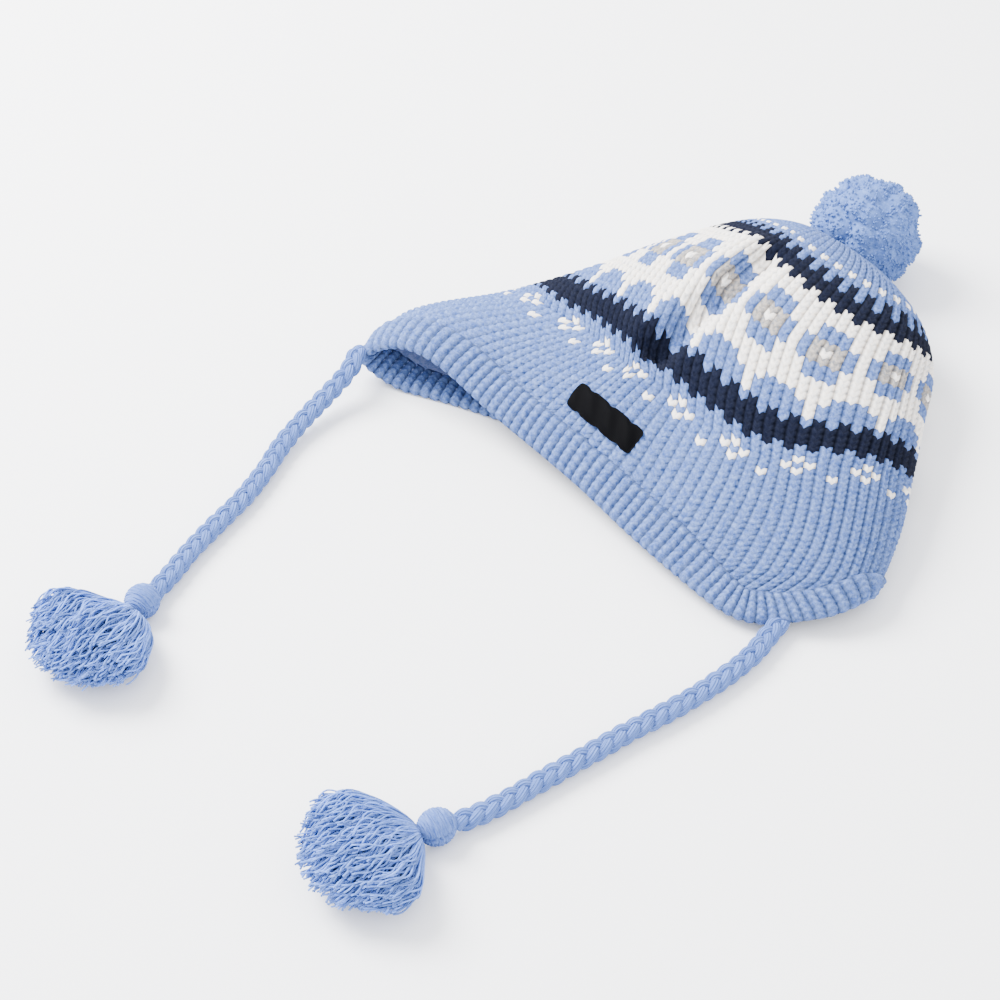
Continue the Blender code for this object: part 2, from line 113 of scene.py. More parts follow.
# Ties
# Two three-strand braids of pale blue wool, each strand a bundle of fine twisted threads. Each leaves the tip
# of a flap and runs over the table to its knot.
ROW_FRAME = np.array([-0.01266386, -0.12086974, 0.0])
BRAID_PITCH = 0.0210
STRAND_RADIUS = 0.00215
BRAID_SWING = 0.0024
BRAID_LIFT = 0.0016
STRAND_THREADS = 6
THREAD_RELIEF = 0.07
THREAD_TWIST = 160.0
LAID_THREADS = 3.77
STRAND_SIDES = 24
STRAND_LOWEST = 0.0003
STEP_ALONG = 0.0006
ROUTE_COUNT = 42
ROUTE_FINE_COUNT = 800
STEEP = 0.97
FAR_TIE_ROUTE = (
    (-0.1226, 0.0016, 0.0122),
    (-0.1214, -0.0046, 0.0158),
    (-0.1180, -0.0100, 0.0170),
    (-0.1163, -0.0160, 0.0150),
    (-0.1162, -0.0233, 0.0122),
    (-0.1158, -0.0341, 0.0092),
    (-0.1142, -0.0484, 0.0068),
    (-0.1105, -0.0647, 0.0053),
    (-0.1037, -0.0824, 0.0048),
    (-0.0978, -0.1014, 0.0048),
    (-0.0939, -0.1219, 0.0048),
    (-0.0900, -0.1399, 0.0048),
    (-0.0850, -0.1564, 0.0050),
    (-0.0819, -0.1684, 0.0056),
)
NEAR_TIE_ROUTE = (
    (0.1274, 0.0025, 0.0052),
    (0.1289, -0.0105, 0.0048),
    (0.1300, -0.0197, 0.0048),
    (0.1297, -0.0326, 0.0048),
    (0.1272, -0.0524, 0.0048),
    (0.1234, -0.0705, 0.0048),
    (0.1190, -0.0875, 0.0048),
    (0.1159, -0.1025, 0.0048),
    (0.1125, -0.1181, 0.0048),
    (0.1092, -0.1331, 0.0048),
    (0.1061, -0.1483, 0.0048),
    (0.1029, -0.1601, 0.0050),
    (0.0991, -0.1703, 0.0056),
)
BRAID_BLUE = (0.085, 0.155, 0.420)


def smooth_curve(knots, values, at):
    """Cubic curve through (knots, values), with slopes taken from each knot's two neighbours."""
    knots = np.asarray(knots, float)
    values = np.asarray(values, float)
    at = np.asarray(at, float)
    slopes = np.empty_like(values)
    slopes[1:-1] = (values[2:] - values[:-2]) / (knots[2:] - knots[:-2])
    slopes[0] = (values[1] - values[0]) / (knots[1] - knots[0])
    slopes[-1] = (values[-1] - values[-2]) / (knots[-1] - knots[-2])
    span = np.clip(np.searchsorted(knots, at) - 1, 0, len(knots) - 2)
    step = knots[span + 1] - knots[span]
    t = (at - knots[span]) / step
    start = values[span] * (1 + 2 * t) * (1 - t) ** 2 + slopes[span] * step * t * (1 - t) ** 2
    end = values[span + 1] * t ** 2 * (3 - 2 * t) + slopes[span + 1] * step * t ** 2 * (t - 1)
    return start + end


def walk_along(lines):
    """Length walked at each point of a line, or of many lines at once, from nothing at its first."""
    steps = np.linalg.norm(np.diff(lines, axis=-2), axis=-1)
    return np.concatenate([np.zeros(steps.shape[:-1] + (1,)), np.cumsum(steps, axis=-1)], axis=-1)


def walked_length(points):
    """Length along a line of points."""
    return float(walk_along(points)[-1])


def route_points(route, count):
    """Evenly spaced points of one smooth curve through a route's own points, in the row's frame."""
    route = np.array(route) + ROW_FRAME
    knots = walk_along(route)
    fine = np.linspace(0, knots[-1], ROUTE_FINE_COUNT)
    curve = np.stack([smooth_curve(knots, route[:, axis], fine) for axis in range(3)], axis=1)
    walked = walk_along(curve)
    wanted = np.linspace(0, walked[-1], count)
    return np.stack([np.interp(wanted, walked, curve[:, axis]) for axis in range(3)], axis=1)


def unit(vectors):
    """Vectors at unit length."""
    return vectors / np.maximum(np.linalg.norm(vectors, axis=-1, keepdims=True), 1e-12)


def side_and_up(lines):
    """Level side directions and upward ones across lines: the tangent crossed with z, and back again."""
    tangent = unit(np.gradient(lines, axis=-2))
    vertical = np.zeros_like(tangent)
    vertical[..., 2] = 1.0
    steep = np.abs(tangent[..., 2]) > STEEP
    vertical[steep] = (0.0, 1.0, 0.0)
    side = unit(np.cross(tangent, vertical))
    return side, np.cross(side, tangent)


def tubes(lines, radii, sides, ridges=0, relief=0.0, twist=0.0):
    """Tubes carried along many lines at once, over the step along a line and the angle round it.

    A ring's radius is its line's radius there, times one plus relief times the cosine of ridges times the
    angle plus twist times the length walked. Returns vertices, faces and their uv.
    """
    count, steps, _ = lines.shape
    side, up = side_and_up(lines)
    walked = walk_along(lines)
    angle = np.arange(sides) / sides * 2 * math.pi
    scale = 1 + relief * np.cos(ridges * angle + twist * walked[..., None])
    reach = radii[..., None] * scale
    ring = np.cos(angle)[:, None] * side[:, :, None, :] + np.sin(angle)[:, None] * up[:, :, None, :]
    vertices = (lines[:, :, None, :] + reach[..., None] * ring).reshape(-1, 3)
    first = (np.arange(count)[:, None, None] * steps + np.arange(steps - 1)[None, :, None]) * sides
    here = first + np.arange(sides)
    beside = first + (np.arange(sides) + 1) % sides
    walls = np.stack([here, here + sides, beside + sides, beside], axis=-1).reshape(-1, 4)
    ends = np.arange(count)[:, None] * steps * sides
    start_caps = ends + np.arange(sides)
    end_caps = ends + (steps - 1) * sides + np.arange(sides)[::-1]
    turn = np.arange(sides) / sides
    grid = np.ones((count, steps - 1, sides))
    u_here = grid * turn
    u_beside = grid * (turn + 1 / sides)
    v_here = grid * walked[:, :-1, None]
    v_next = grid * walked[:, 1:, None]
    wall_uv = np.stack([np.stack([u_here, v_here], -1), np.stack([u_here, v_next], -1),
                        np.stack([u_beside, v_next], -1), np.stack([u_beside, v_here], -1)], axis=3)
    caps = np.concatenate([start_caps, end_caps])
    return vertices, [walls, caps], [wall_uv.reshape(-1, 4, 2), np.zeros(caps.shape + (2,))]


def add_piece(name, vertices, faces, finish, uv=None, colour=None):
    """Smooth-shaded mesh object from vertices and arrays of faces, with uv and colour given per corner."""
    mesh = bpy.data.meshes.new(name)
    corners = np.concatenate([part.ravel() for part in faces]).astype(np.int32)
    sizes = np.concatenate([np.full(len(part), part.shape[1]) for part in faces])
    starts = np.concatenate([[0], np.cumsum(sizes)[:-1]]).astype(np.int32)
    mesh.vertices.add(len(vertices))
    mesh.vertices.foreach_set("co", np.asarray(vertices, np.float32).ravel())
    mesh.loops.add(len(corners))
    mesh.loops.foreach_set("vertex_index", corners)
    mesh.polygons.add(len(sizes))
    mesh.polygons.foreach_set("loop_start", starts)
    mesh.polygons.foreach_set("use_smooth", np.ones(len(sizes), bool))
    mesh.update(calc_edges=True)
    if uv is not None:
        layer = mesh.uv_layers.new(name="lay")
        places = np.concatenate([part.reshape(-1, 2) for part in uv])
        layer.data.foreach_set("uv", places.astype(np.float32).ravel())
    if colour is not None:
        layer = mesh.color_attributes.new(name="yarn", type="FLOAT_COLOR", domain="CORNER")
        shades = np.concatenate([part.reshape(-1, 3) for part in colour])
        shades = np.concatenate([shades, np.ones((len(shades), 1))], axis=1)
        layer.data.foreach_set("color", shades.astype(np.float32).ravel())
    mesh.materials.append(finish)
    made = bpy.data.objects.new(name, mesh)
    bpy.context.collection.objects.link(made)
    return made


def add_node(tree, kind, values=None, **settings):
    """New shader node of a kind: its settings first, because they decide which inputs it has."""
    made = tree.nodes.new("ShaderNode" + kind)
    for setting, value in settings.items():
        setattr(made, setting, value)
    set_inputs(made, values or {})
    return made


def wool(name, colour, threads=0.0, thread_bump=0.0, fleck=0.26, fleck_scale=700.0, charted=False):
    """Wool: a heathered colour with pale and deep flecks, a soft sheen, and a bump of fine hairs.

    threads sets how many thread lines run round a bundle of laid yarn, and draws its flecks out into streaks
    along them. A charted wool takes its colour from the piece's own yarn attribute, which on the crown and
    the border also holds painted shade. Pale yarn has few flecks.
    """
    made, tree = new_finish(name, {"Roughness": 0.95, "Specular IOR Level": 0.02,
                                   "Sheen Weight": 0.02, "Sheen Roughness": 0.6})
    link = tree.links.new
    shader = tree.nodes["Principled BSDF"]
    place = add_node(tree, "TexCoord")
    flecks = add_node(tree, "TexNoise", {"Scale": 1.0 if threads else fleck_scale, "Detail": 3.0,
                                         "Roughness": 0.8})
    if threads:
        streaks = add_node(tree, "Mapping", {"Scale": (threads * 5.0, 110.0, 1.0)})
        link(place.outputs["UV"], streaks.inputs["Vector"])
        link(streaks.outputs["Vector"], flecks.inputs["Vector"])
    else:
        link(place.outputs["Object"], flecks.inputs["Vector"])
    spread = add_node(tree, "MapRange", {"From Min": 0.36, "From Max": 0.66})
    link(flecks.outputs["Fac"], spread.inputs["Value"])
    deep = (1 - fleck, 1 - 0.85 * fleck, 1 - 0.6 * fleck, 1.0)
    pale = (1 + 1.9 * fleck, 1 + 1.3 * fleck, 1 + 0.6 * fleck, 1.0)
    tones = add_node(tree, "Mix", {"A": deep, "B": pale}, data_type="RGBA")
    link(spread.outputs["Result"], tones.inputs["Factor"])
    blend = add_node(tree, "Mix", {"Factor": 1.0}, data_type="RGBA", blend_type="MULTIPLY")
    if charted:
        chart = add_node(tree, "Attribute", attribute_name="yarn")
        link(chart.outputs["Color"], blend.inputs["A"])
        parts = add_node(tree, "SeparateColor")
        link(chart.outputs["Color"], parts.inputs["Color"])
        less = add_node(tree, "Math", {0: 1.0}, operation="SUBTRACT")
        link(parts.outputs["Red"], less.inputs[1])
        link(less.outputs["Value"], blend.inputs["Factor"])
    else:
        set_inputs(blend, {"A": (*colour, 1.0)})
    link(tones.outputs["Result"], blend.inputs["B"])
    link(blend.outputs["Result"], shader.inputs["Base Color"])
    hairs = add_node(tree, "TexNoise", {"Scale": 2600.0, "Detail": 2.0})
    link(place.outputs["Object"], hairs.inputs["Vector"])
    fuzz = add_node(tree, "Bump", {"Strength": 0.5, "Distance": 0.0004})
    link(hairs.outputs["Fac"], fuzz.inputs["Height"])
    if threads:
        stretch = add_node(tree, "Mapping", {"Scale": (threads, 60.0, 0.0), "Rotation": (0.0, 0.0, 0.35)})
        lines = add_node(tree, "TexWave", {"Scale": 1.0, "Distortion": 0.6})
        link(place.outputs["UV"], stretch.inputs["Vector"])
        link(stretch.outputs["Vector"], lines.inputs["Vector"])
        laid = add_node(tree, "Bump", {"Strength": thread_bump, "Distance": 0.0006})
        link(lines.outputs["Color"], laid.inputs["Height"])
        link(laid.outputs["Normal"], fuzz.inputs["Normal"])
    link(fuzz.outputs["Normal"], shader.inputs["Normal"])
    return made


def braid_lines(path):
    """Centre lines of the three strands: each swings to the side as a sine and up and down twice as fast."""
    walked = walk_along(path)
    side, up = side_and_up(path)
    phase = 2 * math.pi * (walked[None, :] / BRAID_PITCH + np.arange(3)[:, None] / 3)
    return (path[None] + BRAID_SWING * np.sin(phase)[..., None] * side[None]
            + BRAID_LIFT * np.sin(2 * phase)[..., None] * up[None])


braid_wool = wool("braid_wool", BRAID_BLUE, threads=LAID_THREADS, thread_bump=0.8, fleck=0.30)
routes = {"far": FAR_TIE_ROUTE, "near": NEAR_TIE_ROUTE}
knot_starts = {}
for side_name, route in routes.items():
    coarse = route_points(route, ROUTE_COUNT)
    steps = int(walked_length(coarse) / STEP_ALONG)
    path = route_points(route, steps)
    lines = braid_lines(path)
    radii = np.full(lines.shape[:2], STRAND_RADIUS)
    vertices, faces, uv = tubes(lines, radii, STRAND_SIDES, STRAND_THREADS, THREAD_RELIEF, THREAD_TWIST)
    vertices[:, 2] = np.maximum(vertices[:, 2], STRAND_LOWEST)
    tie = add_piece("braided_tie_" + side_name, vertices, faces, braid_wool, uv)
    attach(tie, "root")
    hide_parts("tie_" + side_name)
    knot_starts[side_name] = (coarse[-1], coarse[-1] - coarse[-3])

# Knots
# Each tie ends in a wound knot: the tassel's own yarn goes round the braid in many crossing turns.
KNOT_LENGTH = 0.017
KNOT_DIAMETER = 0.0165
KNOT_OVERLAP = 0.0012
KNOT_SETTLED = 0.94
KNOT_LOWEST = 0.0002
WINDING_TURNS = 27
WINDING_SWEEPS = 1.75
WINDING_RADIUS = 0.00078
WINDING_STEPS = 760
WINDING_SIDES = 8
WINDING_PLIES = 3
WINDING_RELIEF = 0.16
WINDING_TWIST = 1500.0
WINDING_NARROWING = 0.93
WINDING_REACH = 0.86
WINDING_SUNK = 0.6
CORE_RINGS = 16
CORE_SIDES = 28


def level(heading):
    """A heading's level part, at unit length."""
    return unit(np.array([heading[0], heading[1], 0.0]))


def wound_line(middle, heading, reach, radius):
    """A yarn wound on a ball: the angle runs evenly while the place along the axis sweeps to and fro."""
    share = np.linspace(0, 1, WINDING_STEPS)
    sweep = np.sin(2 * math.pi * WINDING_SWEEPS * share)
    angle = 2 * math.pi * WINDING_TURNS * share
    side = np.cross(heading, (0.0, 0.0, 1.0))
    around = radius * np.sqrt(1 - (WINDING_NARROWING * sweep) ** 2)
    return (middle + (reach * sweep)[:, None] * heading + (around * np.cos(angle))[:, None] * side
            + (around * np.sin(angle))[:, None] * np.array([0.0, 0.0, 1.0]))


def ball(middle, heading, reach, radius, rings, sides):
    """Ellipsoid along a heading, as rings over its polar angle, with one vertex at each pole."""
    side = np.cross(heading, (0.0, 0.0, 1.0))
    polar = np.linspace(0, math.pi, rings + 2)[1:-1]
    angle = np.arange(sides) / sides * 2 * math.pi
    along = -np.cos(polar)[:, None, None] * reach * heading
    out = np.cos(angle)[:, None] * side + np.sin(angle)[:, None] * np.array([0.0, 0.0, 1.0])
    vertices = (middle + along + radius * np.sin(polar)[:, None, None] * out[None]).reshape(-1, 3)
    here = np.arange(rings - 1)[:, None] * sides + np.arange(sides)
    beside = np.arange(rings - 1)[:, None] * sides + (np.arange(sides) + 1) % sides
    walls = np.stack([here, beside, beside + sides, here + sides], axis=-1).reshape(-1, 4)
    poles = len(vertices)
    vertices = np.vstack([vertices, middle - reach * heading, middle + reach * heading])
    ring = np.arange(sides)
    beyond = (ring + 1) % sides
    last = (rings - 1) * sides
    first_cap = np.stack([beyond, ring, np.full(sides, poles)], axis=-1)
    last_cap = np.stack([last + ring, last + beyond, np.full(sides, poles + 1)], axis=-1)
    return vertices, [walls, np.concatenate([first_cap, last_cap])]


knot_wool = wool("knot_wool", BRAID_BLUE, threads=0.942, thread_bump=0.5, fleck=0.34)
tassel_starts = {}
for side_name, (end, heading) in knot_starts.items():
    heading = level(heading)
    middle = end + heading * (KNOT_LENGTH / 2 - KNOT_OVERLAP)
    middle[2] = KNOT_DIAMETER / 2 * KNOT_SETTLED
    reach = KNOT_LENGTH / 2 - WINDING_RADIUS * WINDING_SUNK
    radius = (KNOT_DIAMETER / 2 - WINDING_RADIUS) * WINDING_NARROWING
    line = wound_line(middle, heading, reach * WINDING_REACH, radius)[None]
    vertices, faces, uv = tubes(line, np.full(line.shape[:2], WINDING_RADIUS), WINDING_SIDES,
                                WINDING_PLIES, WINDING_RELIEF, WINDING_TWIST)
    core, core_faces = ball(middle, heading, reach - WINDING_RADIUS, radius - WINDING_RADIUS * WINDING_SUNK,
                            CORE_RINGS, CORE_SIDES)
    faces = faces + [part + len(vertices) for part in core_faces]
    uv = uv + [np.zeros(part.shape + (2,)) for part in core_faces]
    vertices = np.vstack([vertices, core])
    vertices[:, 2] = np.maximum(vertices[:, 2], KNOT_LOWEST)
    knot = add_piece("wound_knot_" + side_name, vertices, faces, knot_wool, uv)
    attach(knot, "root")
    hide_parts("knot_" + side_name)
    tassel_starts[side_name] = (middle + heading * KNOT_LENGTH / 2, heading)

# Tassels
# A bunch of several hundred cut yarns springs from each knot, opens into a rounded fan and ends in wavy,
# uneven tips on the table.
TASSEL_LENGTH = 0.050
TASSEL_WIDTH = 0.058
TASSEL_HEIGHT = 0.029
TASSEL_NECK = 0.0065
TASSEL_YARNS = 900
TASSEL_STEPS = 17
TASSEL_YARN_RADIUS = 0.00044
TASSEL_YARN_SIDES = 4
TASSEL_CROWDING = 0.42
TASSEL_ENDS = (0.86, 1.0)
TASSEL_ROUNDING = 0.42
TASSEL_OPENING = 0.45
TASSEL_LOW = 0.97
TASSEL_SHADES = (0.70, 1.45)
WAVE_SIZE = 0.0017
WAVE_BEATS = (1.2, 3.6)
TASSEL_HEADINGS = {"far": (0.0, -1.0), "near": (-0.22, -1.0)}
TASSEL_SEEDS = {"far": 11, "near": 12}
TASSEL_BLUE = (0.105, 0.190, 0.500)


def fan_lines(start, knot_heading, heading, seed):
    """Centre lines of a tassel's yarns.

    Each yarn has a place in a unit disc across the fan. It opens to that place by a smooth rise, runs on to
    a rounded end, and waves to the side and up and down by two sines of its own.
    """
    chance = np.random.default_rng(seed)
    out = chance.random(TASSEL_YARNS) ** TASSEL_CROWDING
    angle = chance.random(TASSEL_YARNS) * 2 * math.pi
    across = out * np.cos(angle)
    upward = out * np.sin(angle)
    share = np.linspace(0, 1, TASSEL_STEPS)
    end = (1 - TASSEL_ROUNDING * out ** 2.4) * chance.uniform(*TASSEL_ENDS, TASSEL_YARNS)
    along = share[None] * end[:, None]
    opening = np.sin(np.minimum(along / TASSEL_OPENING, 1) * math.pi / 2) ** 0.85
    turn = np.minimum(1, along * 3)[..., None]
    ahead = unit((1 - turn) * knot_heading + turn * level(heading))
    sideways = np.cross(ahead, (0.0, 0.0, 1.0))
    wide = TASSEL_NECK + (TASSEL_WIDTH / 2 - TASSEL_NECK) * opening
    tall = TASSEL_NECK + (TASSEL_HEIGHT / 2 - TASSEL_NECK) * opening
    strides = np.diff(along, axis=1)[..., None] * ahead[:, 1:]
    lines = np.cumsum(np.concatenate([np.zeros((TASSEL_YARNS, 1, 3)), strides], axis=1), axis=1)
    lines = start + lines * TASSEL_LENGTH
    lines = lines + (across[:, None] * wide)[..., None] * sideways
    lines[..., 2] = tall * (1 + TASSEL_LOW * upward[:, None])
    for direction, size in ((sideways, 1.0), (np.array([0.0, 0.0, 1.0]), 0.8)):
        beat = chance.uniform(*WAVE_BEATS, (TASSEL_YARNS, 1))
        offset = chance.random((TASSEL_YARNS, 1)) * 2 * math.pi
        wave = np.sin(2 * math.pi * beat * along + offset) * WAVE_SIZE * size * np.minimum(1, 2.5 * along)
        lines = lines + wave[..., None] * direction
    lines[..., 2] = np.maximum(lines[..., 2], TASSEL_YARN_RADIUS + 0.0001)
    return lines


tassel_wool = wool("tassel_wool", TASSEL_BLUE, fleck_scale=420.0, fleck=0.22, charted=True)
for side_name, (start, knot_heading) in tassel_starts.items():
    lines = fan_lines(start, knot_heading, TASSEL_HEADINGS[side_name], TASSEL_SEEDS[side_name])
    radii = np.full(lines.shape[:2], TASSEL_YARN_RADIUS)
    vertices, faces, uv = tubes(lines, radii, TASSEL_YARN_SIDES)
    strength = np.random.default_rng(TASSEL_SEEDS[side_name] + 5).uniform(*TASSEL_SHADES, TASSEL_YARNS)
    strength = strength[:, None] * np.array(TASSEL_BLUE)
    wall_colour = np.repeat(strength, (TASSEL_STEPS - 1) * TASSEL_YARN_SIDES, axis=0)
    colours = [shade[:, None, :] * np.ones((1, 4, 1)) for shade in (wall_colour, np.tile(strength, (2, 1)))]
    tassel = add_piece("cut_tassel_" + side_name, vertices, faces, tassel_wool, uv, colours)
    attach(tassel, "root")
    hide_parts("tassel_" + side_name)

# Crown
# The bag of the hat, knitted round in stocking stitch of heathered blue wool, with white, navy and grey yarn
# stranded in for the pattern. Every stitch is a V of two slanting legs, and the columns meet in the top.
HAT_LENGTH = 0.197
NEAR_HALF_WIDTH = 0.147
FAR_HALF_WIDTH = 0.136
CROWN_HEIGHT = 0.060
KNIT_WALL = 0.0034
CREST_SHIFT = 0.003
NEAR_ROUNDNESS = 2.3
FAR_ROUNDNESS = 1.5
UNDERSIDE_FLATNESS = 6.0
UNDERSIDE_PRESS = 1.16
FLAP_CURL_HEIGHT = 0.016
FLAP_CURL_ACROSS = -0.78
FLAP_CURL_SPREAD = 0.27
FLAP_CURL_SQUARENESS = 12
BORDER_WIDTH = 0.0135
SECTION_COLUMNS = ("along", "near", "far", "top", "near_waist", "far_waist", "base", "curl")
SECTIONS = (
    (-0.06, 0.86, 0.90, 0.17, 0.07, 0.23, 0.00, 1.00),
    (0.00, 0.90, 0.92, 0.21, 0.07, 0.23, 0.00, 1.00),
    (0.08, 0.97, 0.94, 0.44, 0.10, 0.24, 0.00, 0.78),
    (0.17, 1.00, 0.93, 0.63, 0.15, 0.25, 0.00, 0.42),
    (0.35, 0.93, 0.76, 0.81, 0.22, 0.25, 0.00, 0.04),
    (0.52, 0.82, 0.62, 0.91, 0.28, 0.27, 0.00, 0.00),
    (0.68, 0.71, 0.51, 0.98, 0.33, 0.30, 0.00, 0.00),
    (0.82, 0.61, 0.41, 0.95, 0.38, 0.34, 0.00, 0.00),
    (0.92, 0.46, 0.31, 0.85, 0.44, 0.42, 0.05, 0.00),
    (0.98, 0.24, 0.20, 0.69, 0.48, 0.48, 0.23, 0.00),
    (1.00, 0.00, 0.00, 0.49, 0.49, 0.49, 0.49, 0.00),
)
MOUTH = (
    (0.000, 0.170),
    (0.025, 0.075),
    (0.052, 0.000),
    (0.090, -0.052),
    (0.150, -0.045),
    (0.250, 0.008),
    (0.340, 0.034),
    (0.400, 0.019),
    (0.450, 0.000),
    (0.500, -0.020),
    (0.550, -0.010),
    (0.600, 0.015),
    (0.660, 0.075),
    (0.750, 0.160),
    (0.850, 0.185),
    (0.930, 0.185),
)
FOLDS = (
    (0.34, 0.035, 0.72, 0.05, 0.11, 0.13),
    (0.36, -0.06, 0.74, -0.05, 0.16, -0.05),
    (0.10, 0.30, 0.30, 0.16, 0.30, 0.05),
)
# Where each sixth column runs near the mouth, at the white dots and at the diamonds, as shares of the ring
# from the front's middle towards the far side
COLUMN_PLACES = (
    (-1, 0.2350, 0.2050, 0.3000),
    (0, 0.1820, 0.1486, 0.2500),
    (1, 0.1260, 0.0840, 0.1960),
    (2, 0.0760, 0.0417, 0.1420),
    (3, 0.0180, 0.0014, 0.0830),
    (4, -0.0680, -0.0556, 0.0069),
    (5, -0.1380, -0.1167, -0.0681),
    (6, -0.1980, -0.1694, -0.1431),
    (7, -0.2480, -0.2278, -0.2278),
    (8, -0.2950, -0.2845, -0.2800),
)
MOUTH_ROW = -20
DOT_ROW = -4
DIAMOND_ROW = 11
# Distance from the top to the middles of the lower and the upper navy bands, at shares of the ring
BAND_PLACES = (
    (0.30, 0.1500, 0.0560),
    (0.13, 0.1450, 0.0530),
    (0.075, 0.1402, 0.0526),
    (0.010, 0.1443, 0.0541),
    (-0.030, 0.1443, 0.0600),
    (-0.080, 0.1559, 0.0720),
    (-0.122, 0.1670, 0.0820),
    (-0.160, 0.1694, 0.0895),
    (-0.200, 0.1664, 0.0925),
    (-0.256, 0.1639, 0.0933),
    (-0.400, 0.1500, 0.0700),
)
PERIODS = 18
PERIOD_COLUMNS = 6
STITCHES = PERIODS * PERIOD_COLUMNS
STITCH_WIDE = 4
STITCH_TALL = 3
LOWER_BAND_ROW = 1.0
UPPER_BAND_ROW = 19.0
TOP_ROW = 37
LOWEST_ROW = -34
ROW_PITCH = 0.0033
STITCH_SLANT = 0.58
STITCH_DEPTH = 0.0021
STITCH_SINK = 0.0013
# Painted shade: the knit's colours are darkened in the grooves between columns, in the middle of each V and
# at each stitch's two ends.
GROOVE_PAINTED_SHADE = 0.50
STITCH_END_PAINTED_SHADE = 0.80
MIDDLE_PAINTED_SHADE = 0.90
STITCH_END_BULGE = 0.60
EDGE_NUDGE = 0.004
EDGE_DEPTH = 0.008
EDGE_EVENING = 41
# How many times its own width the border has, at shares of the ring from the front's middle
EDGE_WIDTHS = ((-0.23, 1.0), (-0.13, 1.32), (0.26, 1.32), (0.36, 1.0))
SEAM_OVERLAP = 0.0020
SEAM_FADE = 0.0028
LEG_HEIGHTS = (0.0, 1.0, 0.56, 1.0)
STITCH_HEIGHTS = (STITCH_END_BULGE, 1.0, 0.94)
KNIT_FLECK = 0.46
KNIT_FLECK_SCALE = 500.0
KNIT_LOWEST = 0.0001
TOP_ROW_MARGIN = 0.15
MOUTH_OVERSHOOT = 1.2
EVEN_STEPS = 1440
EVEN_ALONG = 0.33
LINE_STEPS = 240
NORMAL_NUDGE = 0.0005
COLUMN_PITCH = 0.0050
RING_LINES = 720
TOP_STEPS = 560
LONGEST = 0.28
# One repeat of the pattern, charted from the mouth upwards. Column 0 is the middle of a diamond.
CHART_START = -7
CHART = (
    "bbbwbb",
    "wbbbbb",
    "bwbbbw",
    "wbbbbb",
    "bbbbbb",
    "bnbnbn",
    "nnnnnn",
    "nnnnnn",
    "nnnnnn",
    "bnbnbn",
    "wbbbbb",
    "wbbbbb",
    "wwbbbw",
    "wwwwww",
    "wwwwww",
    "bbwwwb",
    "bbwwwb",
    "ggbwbg",
    "wgbwbg",
    "ggbwbg",
    "bbwwwb",
    "bbwwwb",
    "wwwwww",
    "wwwwww",
    "wnwnwn",
    "nnnnnn",
    "nnnnnn",
    "bnbnbn",
    "bnbnbn",
    "bbbbbb",
    "wbwbwb",
)
YARNS = {"b": (0.085, 0.149, 0.378), "n": (0.0045, 0.0065, 0.0175),
         "w": (0.800, 0.780, 0.760), "g": (0.270, 0.270, 0.275)}


def rounded(along):
    """Turn a share of the length into a measure that runs evenly over the round closed top."""
    return 1.0 - np.sqrt(np.maximum(1.0 - np.asarray(along, float), 0.0))


def section(column, measure):
    """Value of one column of the sections table at a measure from rounded()."""
    index = SECTION_COLUMNS.index(column)
    return smooth_curve(rounded([row[0] for row in SECTIONS]), [row[index] for row in SECTIONS], measure)


def mouth_along(turn):
    """Share of the length at which the mouth's edge lies, at a turn from 0 to 1."""
    turns = [row[0] for row in MOUTH]
    along = [row[1] for row in MOUTH]
    turns = [turns[-2] - 1, turns[-1] - 1] + turns + [turns[0] + 1, turns[1] + 1]
    along = [along[-2], along[-1]] + along + [along[0], along[1]]
    return smooth_curve(turns, along, turn)


def fold_depth(x, y):
    """Depth of the folds table's dents at places on the front: a bell across each fold's line."""
    depth = np.zeros_like(x)
    for along, across, along_end, across_end, width, share in FOLDS:
        start = np.array([across * NEAR_HALF_WIDTH, along * HAT_LENGTH])
        run = np.array([across_end * NEAR_HALF_WIDTH, along_end * HAT_LENGTH]) - start
        t = ((x - start[0]) * run[0] + (y - start[1]) * run[1]) / run.dot(run)
        held = np.clip(t, 0.0, 1.0)
        distance = np.hypot(x - start[0] - held * run[0], y - start[1] - held * run[1])
        depth += share * CROWN_HEIGHT * np.exp(-(distance / (width * CROWN_HEIGHT)) ** 2)
    return depth


def surface(turn, measure):
    """Outer surface of the hat over the turn round it and the measure along it.

    Each ring is flattened: x is the cosine of the turn, the upper half a dome, the lower half pressed flat.
    """
    turn, measure = np.broadcast_arrays(turn, measure)
    across = np.cos(2 * math.pi * turn)
    share = np.abs(across)
    near_side = across > 0
    side = 0.5 + 0.5 * across
    width = np.where(near_side, NEAR_HALF_WIDTH * section("near", measure),
                     FAR_HALF_WIDTH * section("far", measure))
    waist = side * section("near_waist", measure) + (1 - side) * section("far_waist", measure)
    roundness = np.where(near_side, NEAR_ROUNDNESS, FAR_ROUNDNESS)
    dome = np.sqrt(np.maximum(1 - share ** roundness, 0))
    press = np.minimum(1, UNDERSIDE_PRESS * np.sqrt(np.maximum(1 - share ** UNDERSIDE_FLATNESS, 0)))
    over = waist + (section("top", measure) - waist) * dome
    under = waist + (np.maximum(section("base", measure), 0) - waist) * press
    x = CREST_SHIFT + width * across
    y = (1 - (1 - measure) ** 2) * HAT_LENGTH
    curl = np.sqrt(np.maximum(1 - share ** FLAP_CURL_SQUARENESS, 0))
    curl = section("curl", measure) * FLAP_CURL_HEIGHT * curl
    curl = curl * np.exp(-((across - FLAP_CURL_ACROSS) / FLAP_CURL_SPREAD) ** 2)
    on_top = np.sin(2 * math.pi * turn) >= 0
    z = np.where(on_top, over * CROWN_HEIGHT + curl, under * CROWN_HEIGHT)
    closing = np.clip(section("top", measure) - section("base", measure), 0, 1)
    z = np.where(on_top, z - fold_depth(x, y) * dome * np.minimum(1, 2 * closing), z)
    return np.stack([x, y, z], axis=-1)


